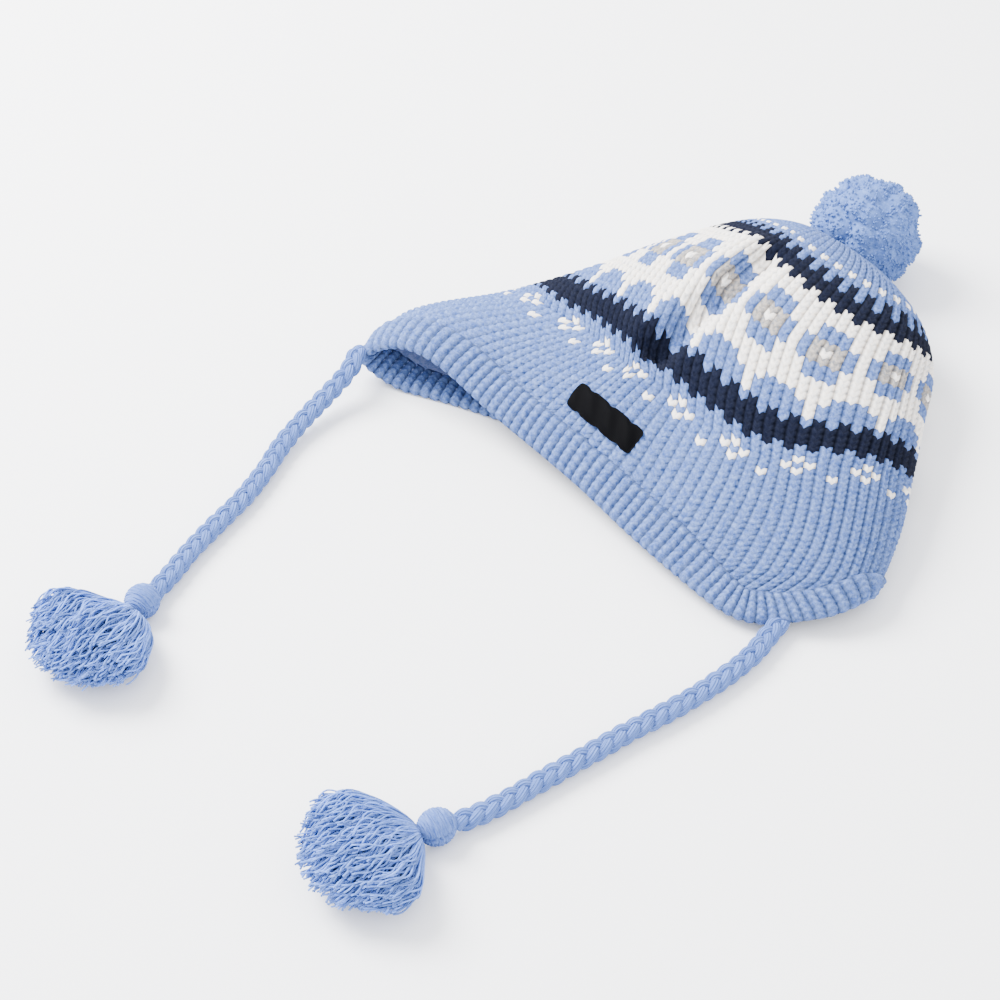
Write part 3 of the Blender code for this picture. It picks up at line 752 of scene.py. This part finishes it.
def even_turns(count):
    """Turns that are spaced evenly along the section at a third of the length."""
    fine = np.linspace(0, 1, EVEN_STEPS + 1)
    walked = walk_along(surface(fine, rounded(EVEN_ALONG)))
    return np.interp(np.arange(count) / count * walked[-1], walked, fine)


def lines_to_top(turns):
    """Points, outward normals and distances from the top along each line from the mouth to the top."""
    start = rounded(mouth_along(turns))
    measure = start[:, None] + (1 - start[:, None]) * np.linspace(0, 1, LINE_STEPS)[None, :]
    around = turns[:, None]
    points = surface(around, measure)
    inner = np.minimum(measure, 1 - 2 * NORMAL_NUDGE)
    down_line = surface(around, inner + NORMAL_NUDGE) - surface(around, inner - NORMAL_NUDGE)
    round_ring = surface(around + NORMAL_NUDGE, inner) - surface(around - NORMAL_NUDGE, inner)
    normals = np.cross(down_line, round_ring)
    normals[:, -1] = (0, 1, 0)
    walked = walk_along(points)
    return points, unit(normals), walked[:, -1:] - walked


ring_turns = even_turns(RING_LINES)
line_points, line_normals, line_depths = lines_to_top(ring_turns)
line_lengths = line_depths[:, 0]
even_depths = np.linspace(0, LONGEST, TOP_STEPS)
point_table = np.empty((RING_LINES, TOP_STEPS, 3))
normal_table = np.empty((RING_LINES, TOP_STEPS, 3))
for line in range(RING_LINES):
    depths = line_depths[line, ::-1]
    for axis in range(3):
        point_table[line, :, axis] = np.interp(even_depths, depths, line_points[line, ::-1, axis])
        normal_table[line, :, axis] = np.interp(even_depths, depths, line_normals[line, ::-1, axis])
front_middle = float(np.interp(0.25, ring_turns, np.arange(RING_LINES) / RING_LINES))


def look_up(table, ring_share, depth):
    """A table's value at a share of the ring and a distance from the top, mixed from its neighbours."""
    place = (ring_share % 1.0) * RING_LINES
    line = np.floor(place).astype(int) % RING_LINES
    across = (place - np.floor(place))[..., None]
    step = np.clip(depth / LONGEST * (TOP_STEPS - 1), 0, TOP_STEPS - 1.001)
    row = np.floor(step).astype(int)
    along = (step - row)[..., None]
    beyond = (line + 1) % RING_LINES
    low = table[line, row] * (1 - across) + table[beyond, row] * across
    high = table[line, row + 1] * (1 - across) + table[beyond, row + 1] * across
    return low * (1 - along) + high * along


def ring_length(ring_share):
    """Distance from the top to the mouth's edge at a share of the ring."""
    shares = np.arange(RING_LINES + 1) / RING_LINES
    return np.interp(ring_share % 1.0, shares, np.append(line_lengths, line_lengths[0]))


def column_share(column, row):
    """Share of the ring where a column runs at a row, from its mouth place over its dot place to its last."""
    period = column / PERIOD_COLUMNS
    numbers = [entry[0] for entry in COLUMN_PLACES]
    numbers = numbers + [numbers[0] + PERIODS]
    wrapped = (period - numbers[0]) % PERIODS + numbers[0]
    mouth, dots, diamonds = (np.interp(wrapped, numbers, [entry[place] for entry in COLUMN_PLACES]
                                       + [COLUMN_PLACES[0][place] - 1]) for place in (1, 2, 3))
    rise = np.clip((row - DOT_ROW) / (DIAMOND_ROW - DOT_ROW), 0, 1)
    fall = np.clip((DOT_ROW - row) / (DOT_ROW - MOUTH_ROW), 0, MOUTH_OVERSHOOT)
    return front_middle + dots + (diamonds - dots) * rise + (mouth - dots) * fall


def row_depth(ring_share, row):
    """Distance from the top of a row: even steps between the top, the two navy bands and the mouth."""
    places = sorted(BAND_PLACES)
    shares = [entry[0] for entry in places]
    shares = [shares[-1] - 1] + shares
    offset = (ring_share - front_middle - shares[0]) % 1.0 + shares[0]
    lower = np.interp(offset, shares, [places[-1][1]] + [entry[1] for entry in places])
    upper = np.interp(offset, shares, [places[-1][2]] + [entry[2] for entry in places])
    below = lower + (LOWER_BAND_ROW - row) * ROW_PITCH
    between = lower + (upper - lower) * (row - LOWER_BAND_ROW) / (UPPER_BAND_ROW - LOWER_BAND_ROW)
    above = upper * (TOP_ROW - row) / (TOP_ROW - UPPER_BAND_ROW)
    return np.where(row < LOWER_BAND_ROW, below, np.where(row < UPPER_BAND_ROW, between, above))


def square_to_edge():
    """Per line of the ring, the share and depth walked per metre in from the mouth, evened round the ring."""
    share = np.arange(RING_LINES) / RING_LINES
    after = share + EDGE_NUDGE
    before = share - EDGE_NUDGE
    depth = ring_length(share)
    inner = depth - EDGE_DEPTH
    run = look_up(point_table, after, ring_length(after)) - look_up(point_table, before, ring_length(before))
    run = unit(run)
    by_share = look_up(point_table, after, inner) - look_up(point_table, before, inner)
    by_share = by_share / (2 * EDGE_NUDGE)
    by_depth = (look_up(point_table, share, inner) - look_up(point_table, share, depth)) / EDGE_DEPTH
    step = -(by_depth * run).sum(axis=1) / (by_share * run).sum(axis=1)
    stretch = 1 / np.linalg.norm(by_depth + step[:, None] * by_share, axis=1)
    weights = np.hanning(EDGE_EVENING)
    weights = weights / weights.sum()
    whole_ring = slice(EDGE_EVENING, -EDGE_EVENING)
    walks = [np.pad(walk, EDGE_EVENING, mode="wrap") for walk in (step * stretch, stretch)]
    walks = [np.convolve(walk, weights, mode="same")[whole_ring] for walk in walks]
    return share, walks[0], walks[1]


def inward(share, distance):
    """Ring share and depth of places at a distance in from the mouth's edge, measured square to the edge."""
    offset = (share - front_middle + 0.5) % 1.0 - 0.5
    wide = np.interp(offset, [entry[0] for entry in EDGE_WIDTHS], [entry[1] for entry in EDGE_WIDTHS])
    share_walk = (wide * np.interp(share, square_share, square_step, period=1.0))[:, None]
    depth_walk = (wide * np.interp(share, square_share, square_stretch, period=1.0))[:, None]
    return share[:, None] + share_walk * distance, ring_length(share)[:, None] - depth_walk * distance


square_share, square_step, square_stretch = square_to_edge()


def chart_colour(column, row):
    """Colour of the stitch at whole numbers of column and row."""
    letters = np.array([[YARNS[letter] for letter in line] for line in CHART])
    inside = (row >= CHART_START) & (row < CHART_START + len(CHART))
    line = np.clip(row - CHART_START, 0, len(CHART) - 1)
    return np.where(inside[..., None], letters[line, column % PERIOD_COLUMNS], np.array(YARNS["b"]))


def grid_quads(columns, rows, closed_across, closed_along):
    """Faces of a grid of vertices kept column by column; a closed side joins its last line to its first."""
    column = np.arange(columns - 1 + closed_across)[:, None]
    row = np.arange(rows - 1 + closed_along)[None, :]
    here = column * rows
    beside = (column + 1) % columns * rows
    above = (row + 1) % rows
    return np.stack([here + row, beside + row, beside + above, here + above], axis=-1)


columns_across = STITCHES * STITCH_WIDE
rows_up = (TOP_ROW - LOWEST_ROW) * STITCH_TALL
column_at = np.arange(columns_across)[:, None] / STITCH_WIDE
row_at = LOWEST_ROW + np.arange(rows_up)[None, :] / STITCH_TALL
place_in_stitch = column_at % 1.0
slanted_row = row_at + STITCH_SLANT * (np.abs(2 * place_in_stitch - 1) - 0.5)
slanted_row = np.minimum(slanted_row, TOP_ROW - TOP_ROW_MARGIN)
knit_share = column_share(column_at - 0.5 + 0 * row_at, slanted_row)
knit_depth = row_depth(knit_share, slanted_row)
seam_share, seam_depth = inward(square_share, BORDER_WIDTH - SEAM_OVERLAP)
edge_depth = np.interp(knit_share, seam_share[:, 0], seam_depth[:, 0], period=1.0)
held_depth = np.minimum(knit_depth, edge_depth)
knit_points = look_up(point_table, knit_share, held_depth)
knit_normals = unit(look_up(normal_table, knit_share, held_depth))
spacing = np.linalg.norm(np.roll(knit_points, -STITCH_WIDE, axis=0) - knit_points, axis=-1)
leg = np.array(LEG_HEIGHTS)[np.arange(columns_across) % STITCH_WIDE][:, None]
bulge = np.array(STITCH_HEIGHTS)[np.arange(rows_up) % STITCH_TALL][None, :]
crowding = np.minimum(1, spacing / COLUMN_PITCH)
relief = STITCH_DEPTH * crowding * leg * bulge * np.clip((edge_depth - held_depth) / SEAM_FADE, 0, 1)
knit_points = knit_points + (relief - STITCH_SINK * crowding)[..., None] * knit_normals + ROW_FRAME
knit_points[..., 2] = np.maximum(knit_points[..., 2], KNIT_LOWEST)

column_index, row_index = np.meshgrid(np.arange(columns_across), np.arange(rows_up - 1), indexing="ij")
quads = grid_quads(columns_across, rows_up, True, False)
within = knit_depth <= edge_depth + 1e-9
kept = within[:, 1:] | np.roll(within, -1, axis=0)[:, 1:]
shade = chart_colour(column_index // STITCH_WIDE, LOWEST_ROW + row_index // STITCH_TALL)
# Painted shade of the grooves, the V middles and the stitch ends, multiplied into the chart's yarn colours.
painted_stitch_shade = np.where(leg == 0, GROOVE_PAINTED_SHADE, np.where(leg < 1, MIDDLE_PAINTED_SHADE, 1.0))
stitch_rise = (bulge - STITCH_END_BULGE) / (1 - STITCH_END_BULGE)
painted_stitch_shade = painted_stitch_shade * (STITCH_END_PAINTED_SHADE + (1 - STITCH_END_PAINTED_SHADE) * stitch_rise)
painted_stitch_shade = painted_stitch_shade.reshape(-1)[quads]
quad_colours = (shade[:, :, None, :] * painted_stitch_shade[..., None])[kept]
quad_uv = np.stack([np.stack([column_index + dx, row_index + dy], -1) / STITCH_WIDE
                    for dx, dy in ((0, 0), (1, 0), (1, 1), (0, 1))], axis=2)[kept]
crown_vertices = knit_points.reshape(-1, 3)
apex = point_table[0, 0] + ROW_FRAME
top_ring = np.arange(columns_across) * rows_up + rows_up - 1
top_fan = np.stack([top_ring, np.roll(top_ring, -1), np.full(columns_across, len(crown_vertices))], axis=-1)
crown_vertices = np.vstack([crown_vertices, apex])
fan_colour = np.broadcast_to(np.array(YARNS["b"]), (columns_across, 3, 3))
used = np.unique(np.concatenate([quads[kept].ravel(), top_fan.ravel()]))
renumber = np.zeros(len(crown_vertices), int)
renumber[used] = np.arange(len(used))
knit_wool = wool("pattern_and_painted_shade_knit_wool", YARNS["b"], fleck=KNIT_FLECK, fleck_scale=KNIT_FLECK_SCALE,
                 charted=True)
crown = add_piece("knit_crown", crown_vertices[used], [renumber[quads[kept]], renumber[top_fan]], knit_wool,
                  [quad_uv, np.zeros((columns_across, 3, 2))], [quad_colours, fan_colour])
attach(crown, "root")
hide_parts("crown")

# Inside of the crown
# The purl side of the same knit: low cross ridges of the blue yarn, seen where a flap stands open. Its blue
# is painted lighter than the outside's yarn, as painted light in the shaded mouth.
INSIDE_ACROSS = 216
INSIDE_ROWS = 150
# Painted light: the same blue yarn made lighter, standing in for light reaching into the mouth.
INSIDE_BLUE_PAINTED_LIGHTER = (0.195, 0.265, 0.510)
PURL_RELIEF = 0.0004
INSIDE_START = 0.004
INSIDE_END_SHARE = 0.6
INSIDE_LOWEST = 0.0020

inside_share = (np.arange(INSIDE_ACROSS) / INSIDE_ACROSS)[:, None] + np.zeros((1, INSIDE_ROWS))
inside_reach = ring_length(inside_share[:, :1]) - BORDER_WIDTH * INSIDE_END_SHARE
inside_depth = np.linspace(INSIDE_START, 1, INSIDE_ROWS)[None, :] * inside_reach
purl = PURL_RELIEF * np.cos(2 * math.pi * inside_depth / ROW_PITCH)
inside_points = (look_up(point_table, inside_share, inside_depth)
                 - (KNIT_WALL + purl)[..., None] * unit(look_up(normal_table, inside_share, inside_depth)))
inside_points = inside_points + ROW_FRAME
inside_points[..., 2] = np.maximum(inside_points[..., 2], INSIDE_LOWEST)
inside_quads = grid_quads(INSIDE_ACROSS, INSIDE_ROWS, True, False).reshape(-1, 4)
top_ring = np.arange(INSIDE_ACROSS) * INSIDE_ROWS
inside_top = point_table[0, 0] + ROW_FRAME - (0, KNIT_WALL, 0)
inside_fan = np.stack([top_ring, np.full(INSIDE_ACROSS, INSIDE_ACROSS * INSIDE_ROWS),
                       np.roll(top_ring, -1)], axis=-1)
inside_vertices = np.vstack([inside_points.reshape(-1, 3), inside_top])
inside_wool_painted_light = wool("inside_wool_painted_light", INSIDE_BLUE_PAINTED_LIGHTER, fleck_scale=560.0)
inside = add_piece("knit_inside", inside_vertices, [inside_quads, inside_fan], inside_wool_painted_light)
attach(inside, "root")

# Border
# A narrow rib, knitted on round the mouth and both flaps, thicker than the body and rolled over the edge.
BORDER_RIBS = 114
RIB_WIDE = 8
RIB_RELIEF = 0.00085
# Painted shade: the border's colour is darkened in the rib grooves, between the rib rows, and along the seam
# and the rolled edge.
RIB_GROOVE_PAINTED_SHADE = 0.46
SEAM_PAINTED_SHADE = 0.70
RIB_ROW_RELIEF = 0.00024
RIB_ROW_PITCH = 0.0026
RIB_ROW_PAINTED_SHADE = 0.74
RIB_FULLNESS = 0.6
RIB_TURN_HEIGHT = -0.0018
BORDER_POINTS = 52
# The border's section: distance in from the edge, height over the knit, and share of the rib relief, which
# also sets the painted shade: the lower the share, the darker the colour
BORDER_SECTION = (
    (0.0146, -0.0030, 0.0),
    (0.0143, -0.0008, 0.0),
    (0.0140, 0.0008, 0.0),
    (0.0132, 0.0015, 0.60),
    (0.0124, 0.0017, 1.0),
    (0.0104, 0.0016, 1.0),
    (0.0080, 0.0014, 1.0),
    (0.0058, 0.0013, 1.0),
    (0.0036, 0.0010, 1.0),
    (0.0018, 0.0003, 1.0),
    (0.0006, -0.0006, 0.9),
    (0.0000, -0.0018, 0.7),
    (0.0004, -0.0030, 0.7),
    (0.0020, -0.0038, 1.0),
    (0.0050, -0.0042, 1.0),
    (0.0090, -0.0042, 1.0),
    (0.0125, -0.0040, 0.6),
    (0.0142, -0.0034, 0.0),
)

section_points = np.array(BORDER_SECTION + BORDER_SECTION[:1])
section_walk = walk_along(section_points[:, :2])
section_at = np.arange(BORDER_POINTS) / BORDER_POINTS * section_walk[-1]
border_in, border_height, rib_share = (np.interp(section_at, section_walk, section_points[:, place])[None, :]
                                       for place in range(3))
across_count = BORDER_RIBS * RIB_WIDE
mouth_walk = walk_along(np.vstack([line_points[:, 0], line_points[:1, 0]]))
border_share = np.interp(np.arange(across_count) / across_count * mouth_walk[-1], mouth_walk,
                         np.arange(RING_LINES + 1) / RING_LINES)
rib_wave = 2 * np.abs(np.sin(math.pi * np.arange(across_count) / RIB_WIDE))[:, None] ** RIB_FULLNESS - 1
outward = np.where(border_height > RIB_TURN_HEIGHT, 1.0, -1.0)
rib_place = np.arange(across_count)[:, None] / RIB_WIDE % 1.0
rib_rows = np.cos(2 * math.pi * (border_in / RIB_ROW_PITCH + np.abs(rib_place - 0.5)))
rib_height = border_height + outward * rib_share * (RIB_RELIEF * rib_wave + RIB_ROW_RELIEF * rib_rows)
border_at, border_depth = inward(border_share, border_in)
border_points = (look_up(point_table, border_at, border_depth)
                 + rib_height[..., None] * unit(look_up(normal_table, border_at, border_depth)))
border_points = border_points + ROW_FRAME
border_points[..., 2] = np.maximum(border_points[..., 2], 0.0)
border_quads = grid_quads(across_count, BORDER_POINTS, True, True)[..., [0, 3, 2, 1]].reshape(-1, 4)
# Painted shade in the rib grooves, between the rows and at the seam, carried in the border's yarn colours.
rib_painted_shade = RIB_GROOVE_PAINTED_SHADE + (1 - RIB_GROOVE_PAINTED_SHADE) * (rib_wave + 1) / 2 + 0 * border_in
rib_painted_shade = rib_painted_shade * (RIB_ROW_PAINTED_SHADE + (1 - RIB_ROW_PAINTED_SHADE) * (0.5 + 0.5 * rib_rows))
rib_painted_shade = (rib_painted_shade * (SEAM_PAINTED_SHADE + (1 - SEAM_PAINTED_SHADE) * rib_share)).reshape(-1)[border_quads]
border_wool = wool("border_wool", YARNS["b"], fleck=KNIT_FLECK, fleck_scale=KNIT_FLECK_SCALE, charted=True)
border = add_piece("ribbed_border", border_points.reshape(-1, 3), [border_quads], border_wool,
                   colour=[rib_painted_shade[..., None] * np.array(YARNS["b"])])
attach(border, "root")
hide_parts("border")

# Tab
# A small plain black woven tape, sewn flat on the front above the border, a little puckered by its stitches.
TAB_LENGTH = 0.040
TAB_WIDTH = 0.0130
TAB_THICKNESS = 0.0008
TAB_ABOVE_BORDER = 0.0120
TAB_ACROSS = 0.007
TAB_LIFT = 0.0009
TAB_COLUMNS = 60
TAB_ROWS = 22
TAB_BLACK = (0.0006, 0.0006, 0.0009)
TAB_WEAVE_BLACK = (0.0018, 0.0018, 0.0024)
TAB_CORNER = 0.10
TAB_WAIST = 0.12
TAB_WAIST_TURN = 3.1 * math.pi
TAB_END_BOW = 0.035
TAB_PUCKER = 0.0005
TAB_RISE = 0.0006
TAB_FRONT = (0.1, 0.4)
TAB_CANDIDATES = 1440

candidates = even_turns(TAB_CANDIDATES)
low_edge = BORDER_WIDTH + TAB_ABOVE_BORDER
candidate_share = np.arange(TAB_CANDIDATES) / TAB_CANDIDATES
at_low = look_up(point_table, candidate_share, ring_length(candidate_share) - low_edge)
on_front = (candidates > TAB_FRONT[0]) & (candidates < TAB_FRONT[1])
order = np.argsort(at_low[on_front, 0])
tab_u = np.linspace(-1, 1, TAB_COLUMNS)[:, None]
tab_v = np.linspace(-1, 1, TAB_ROWS)[None, :]
tab_wave = np.cos(TAB_WAIST_TURN * tab_u)
tab_half = 1 - TAB_CORNER * tab_u ** 14 - TAB_WAIST * (tab_wave > 0) * tab_wave ** 2
wanted_x = TAB_ACROSS + 0.5 * TAB_LENGTH * tab_u * (1 - TAB_END_BOW * tab_v ** 8)
tab_share = np.interp(wanted_x, at_low[on_front, 0][order], candidate_share[on_front][order])
tab_in = low_edge + (0.5 + 0.5 * tab_v * tab_half) * TAB_WIDTH
tab_depth = ring_length(tab_share) - tab_in
tab_base = look_up(point_table, tab_share, tab_depth)
tab_out = unit(look_up(normal_table, tab_share, tab_depth))
tab_pucker = (TAB_PUCKER * np.sin(11 * tab_u + 2 * tab_v) * (1 - tab_v ** 4)
              + TAB_RISE * (1 - tab_v ** 4) * (1 - tab_u ** 8))
tab_over = tab_base + (TAB_LIFT + TAB_THICKNESS / 2 + tab_pucker)[..., None] * tab_out + ROW_FRAME
tab_under = tab_base + (TAB_LIFT - TAB_THICKNESS / 2) * tab_out + ROW_FRAME
tab_quad = grid_quads(TAB_COLUMNS, TAB_ROWS, False, False)[..., [0, 3, 2, 1]].reshape(-1, 4)
tab_layer = TAB_COLUMNS * TAB_ROWS
tab_rim = np.concatenate([np.arange(TAB_COLUMNS) * TAB_ROWS,
                          (TAB_COLUMNS - 1) * TAB_ROWS + np.arange(1, TAB_ROWS),
                          np.arange(TAB_COLUMNS - 2, -1, -1) * TAB_ROWS + TAB_ROWS - 1,
                          np.arange(TAB_ROWS - 2, 0, -1)])
tab_next = np.roll(tab_rim, -1)
tab_walls = np.stack([tab_rim, tab_rim + tab_layer, tab_next + tab_layer, tab_next], axis=-1)
tape, tape_tree = new_finish("black_woven_tape", {"Roughness": 0.62, "Specular IOR Level": 0.02})
tape_link = tape_tree.links.new
tape_shader = tape_tree.nodes["Principled BSDF"]
tape_place = add_node(tape_tree, "TexCoord")
tape_weave = add_node(tape_tree, "TexWave", {"Scale": 420.0, "Distortion": 0.5})
tape_link(tape_place.outputs["Object"], tape_weave.inputs["Vector"])
tape_ramp = add_node(tape_tree, "ValToRGB")
tape_ramp.color_ramp.elements[0].color = (*TAB_BLACK, 1)
tape_ramp.color_ramp.elements[1].color = (*TAB_WEAVE_BLACK, 1)
tape_link(tape_weave.outputs["Fac"], tape_ramp.inputs["Fac"])
tape_link(tape_ramp.outputs["Color"], tape_shader.inputs["Base Color"])
tape_bump = add_node(tape_tree, "Bump", {"Strength": 0.5, "Distance": 0.0002})
tape_link(tape_weave.outputs["Fac"], tape_bump.inputs["Height"])
tape_link(tape_bump.outputs["Normal"], tape_shader.inputs["Normal"])
tab = add_piece("woven_tab", np.vstack([tab_over.reshape(-1, 3), tab_under.reshape(-1, 3)]),
                [tab_quad[:, ::-1], tab_quad + tab_layer, tab_walls[:, ::-1]], tape)
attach(tab, "root")
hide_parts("tab")

# Pompom
# A dense ball of cut wool, trimmed round. Its yarn ends gather in soft curls with small hollows between them.
POMPOM_DIAMETER = 0.059
POMPOM_ACROSS = 0.0084
POMPOM_GAP = 0.0003
TUFT_COUNT = 64
TUFT_DEPTH = 0.0020
TUFT_SCATTER = 0.14
TUFT_LIMIT = 1.3
POMPOM_YARNS = 3000
POMPOM_STEPS = 5
POMPOM_YARN_RADIUS = 0.00080
POMPOM_YARN_SIDES = 5
POMPOM_YARN_SHOWN = 0.009
POMPOM_MARGIN = 0.0006
POMPOM_LEAN = 0.24
POMPOM_CURLS = (0.0004, 0.0022)
POMPOM_LOWEST = 0.0001
POMPOM_SEAT = 0.0005
POMPOM_CORE_DROP = 0.0008
POMPOM_BLUE = (0.088, 0.160, 0.400)


def even_directions(count):
    """Unit directions spread evenly over a sphere along a spiral."""
    index = np.arange(count) + 0.5
    height = 1 - 2 * index / count
    angle = index * math.pi * (1 + math.sqrt(5))
    flat = np.sqrt(1 - height ** 2)
    return np.stack([flat * np.cos(angle), height, flat * np.sin(angle)], axis=1)


def tuft_hollow(directions):
    """The closest tuft of each direction, and how low it lies: most between tufts, not at all on one."""
    closest = np.argmax(directions @ tufts.T, axis=1)
    apart = np.arccos(np.clip((directions * tufts[closest]).sum(axis=1), -1, 1))
    return closest, np.minimum(apart / (math.sqrt(4 * math.pi / TUFT_COUNT) / 2), TUFT_LIMIT) ** 2


chance = np.random.default_rng(7)
tufts = even_directions(TUFT_COUNT)
tufts = unit(tufts + chance.normal(0, TUFT_SCATTER, tufts.shape))
roots = unit(even_directions(POMPOM_YARNS) + chance.normal(0, 0.03, (POMPOM_YARNS, 3)))
closest, hollow = tuft_hollow(roots)
tip = POMPOM_DIAMETER / 2 - POMPOM_MARGIN - TUFT_DEPTH * hollow
share = np.linspace(0, 1, POMPOM_STEPS)
curl_way = unit(np.cross(roots, chance.normal(0, 1, roots.shape)))
lean = unit(roots + POMPOM_LEAN * (tufts[closest] - roots) + chance.normal(0, 0.06, roots.shape))
outwards = tip[:, None] - POMPOM_YARN_SHOWN * (1 - share)[None, :]
curl_size = chance.uniform(*POMPOM_CURLS, (POMPOM_YARNS, 1)) * share[None, :] ** 2
bend = share[None, :, None]
pompom_lines = (outwards[..., None] * (roots[:, None] * (1 - bend) + lean[:, None] * bend)
                + curl_size[..., None] * curl_way[:, None])
pompom_middle = np.array([POMPOM_ACROSS, HAT_LENGTH + POMPOM_GAP + POMPOM_DIAMETER / 2 - TUFT_DEPTH,
                          POMPOM_DIAMETER / 2 - TUFT_DEPTH]) + ROW_FRAME
reach_now = np.linalg.norm(pompom_lines, axis=-1, keepdims=True)
limit = POMPOM_DIAMETER / 2 - POMPOM_YARN_RADIUS
pompom_lines = pompom_lines * np.minimum(1, limit / reach_now)
taper = POMPOM_YARN_RADIUS * (1 - 0.35 * share ** 4)
pompom_vertices, pompom_faces, _ = tubes(pompom_lines, np.tile(taper, (POMPOM_YARNS, 1)), POMPOM_YARN_SIDES)
core_vertices, core_faces = ball(np.zeros(3), np.array([0.0, 1.0, 0.0]), 1.0, 1.0, 80, 120)
core_out = unit(core_vertices)
core_low = TUFT_DEPTH * tuft_hollow(core_out)[1] + chance.uniform(0, 0.0004, len(core_out))
core_vertices = core_out * (POMPOM_DIAMETER / 2 - POMPOM_MARGIN - POMPOM_CORE_DROP - core_low)[:, None]
pompom_faces = pompom_faces + [part + len(pompom_vertices) for part in core_faces]
pompom_vertices = np.vstack([pompom_vertices, core_vertices]) + pompom_middle
pompom_vertices[:, 2] = np.maximum(pompom_vertices[:, 2], POMPOM_LOWEST)
pompom_vertices[:, 1] = np.maximum(pompom_vertices[:, 1], HAT_LENGTH + ROW_FRAME[1] - POMPOM_SEAT)
pompom_wool = wool("pompom_wool", POMPOM_BLUE, fleck=0.20, fleck_scale=500.0)
pompom = add_piece("wool_pompom", pompom_vertices, pompom_faces, pompom_wool)
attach(pompom, "root")
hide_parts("pompom")
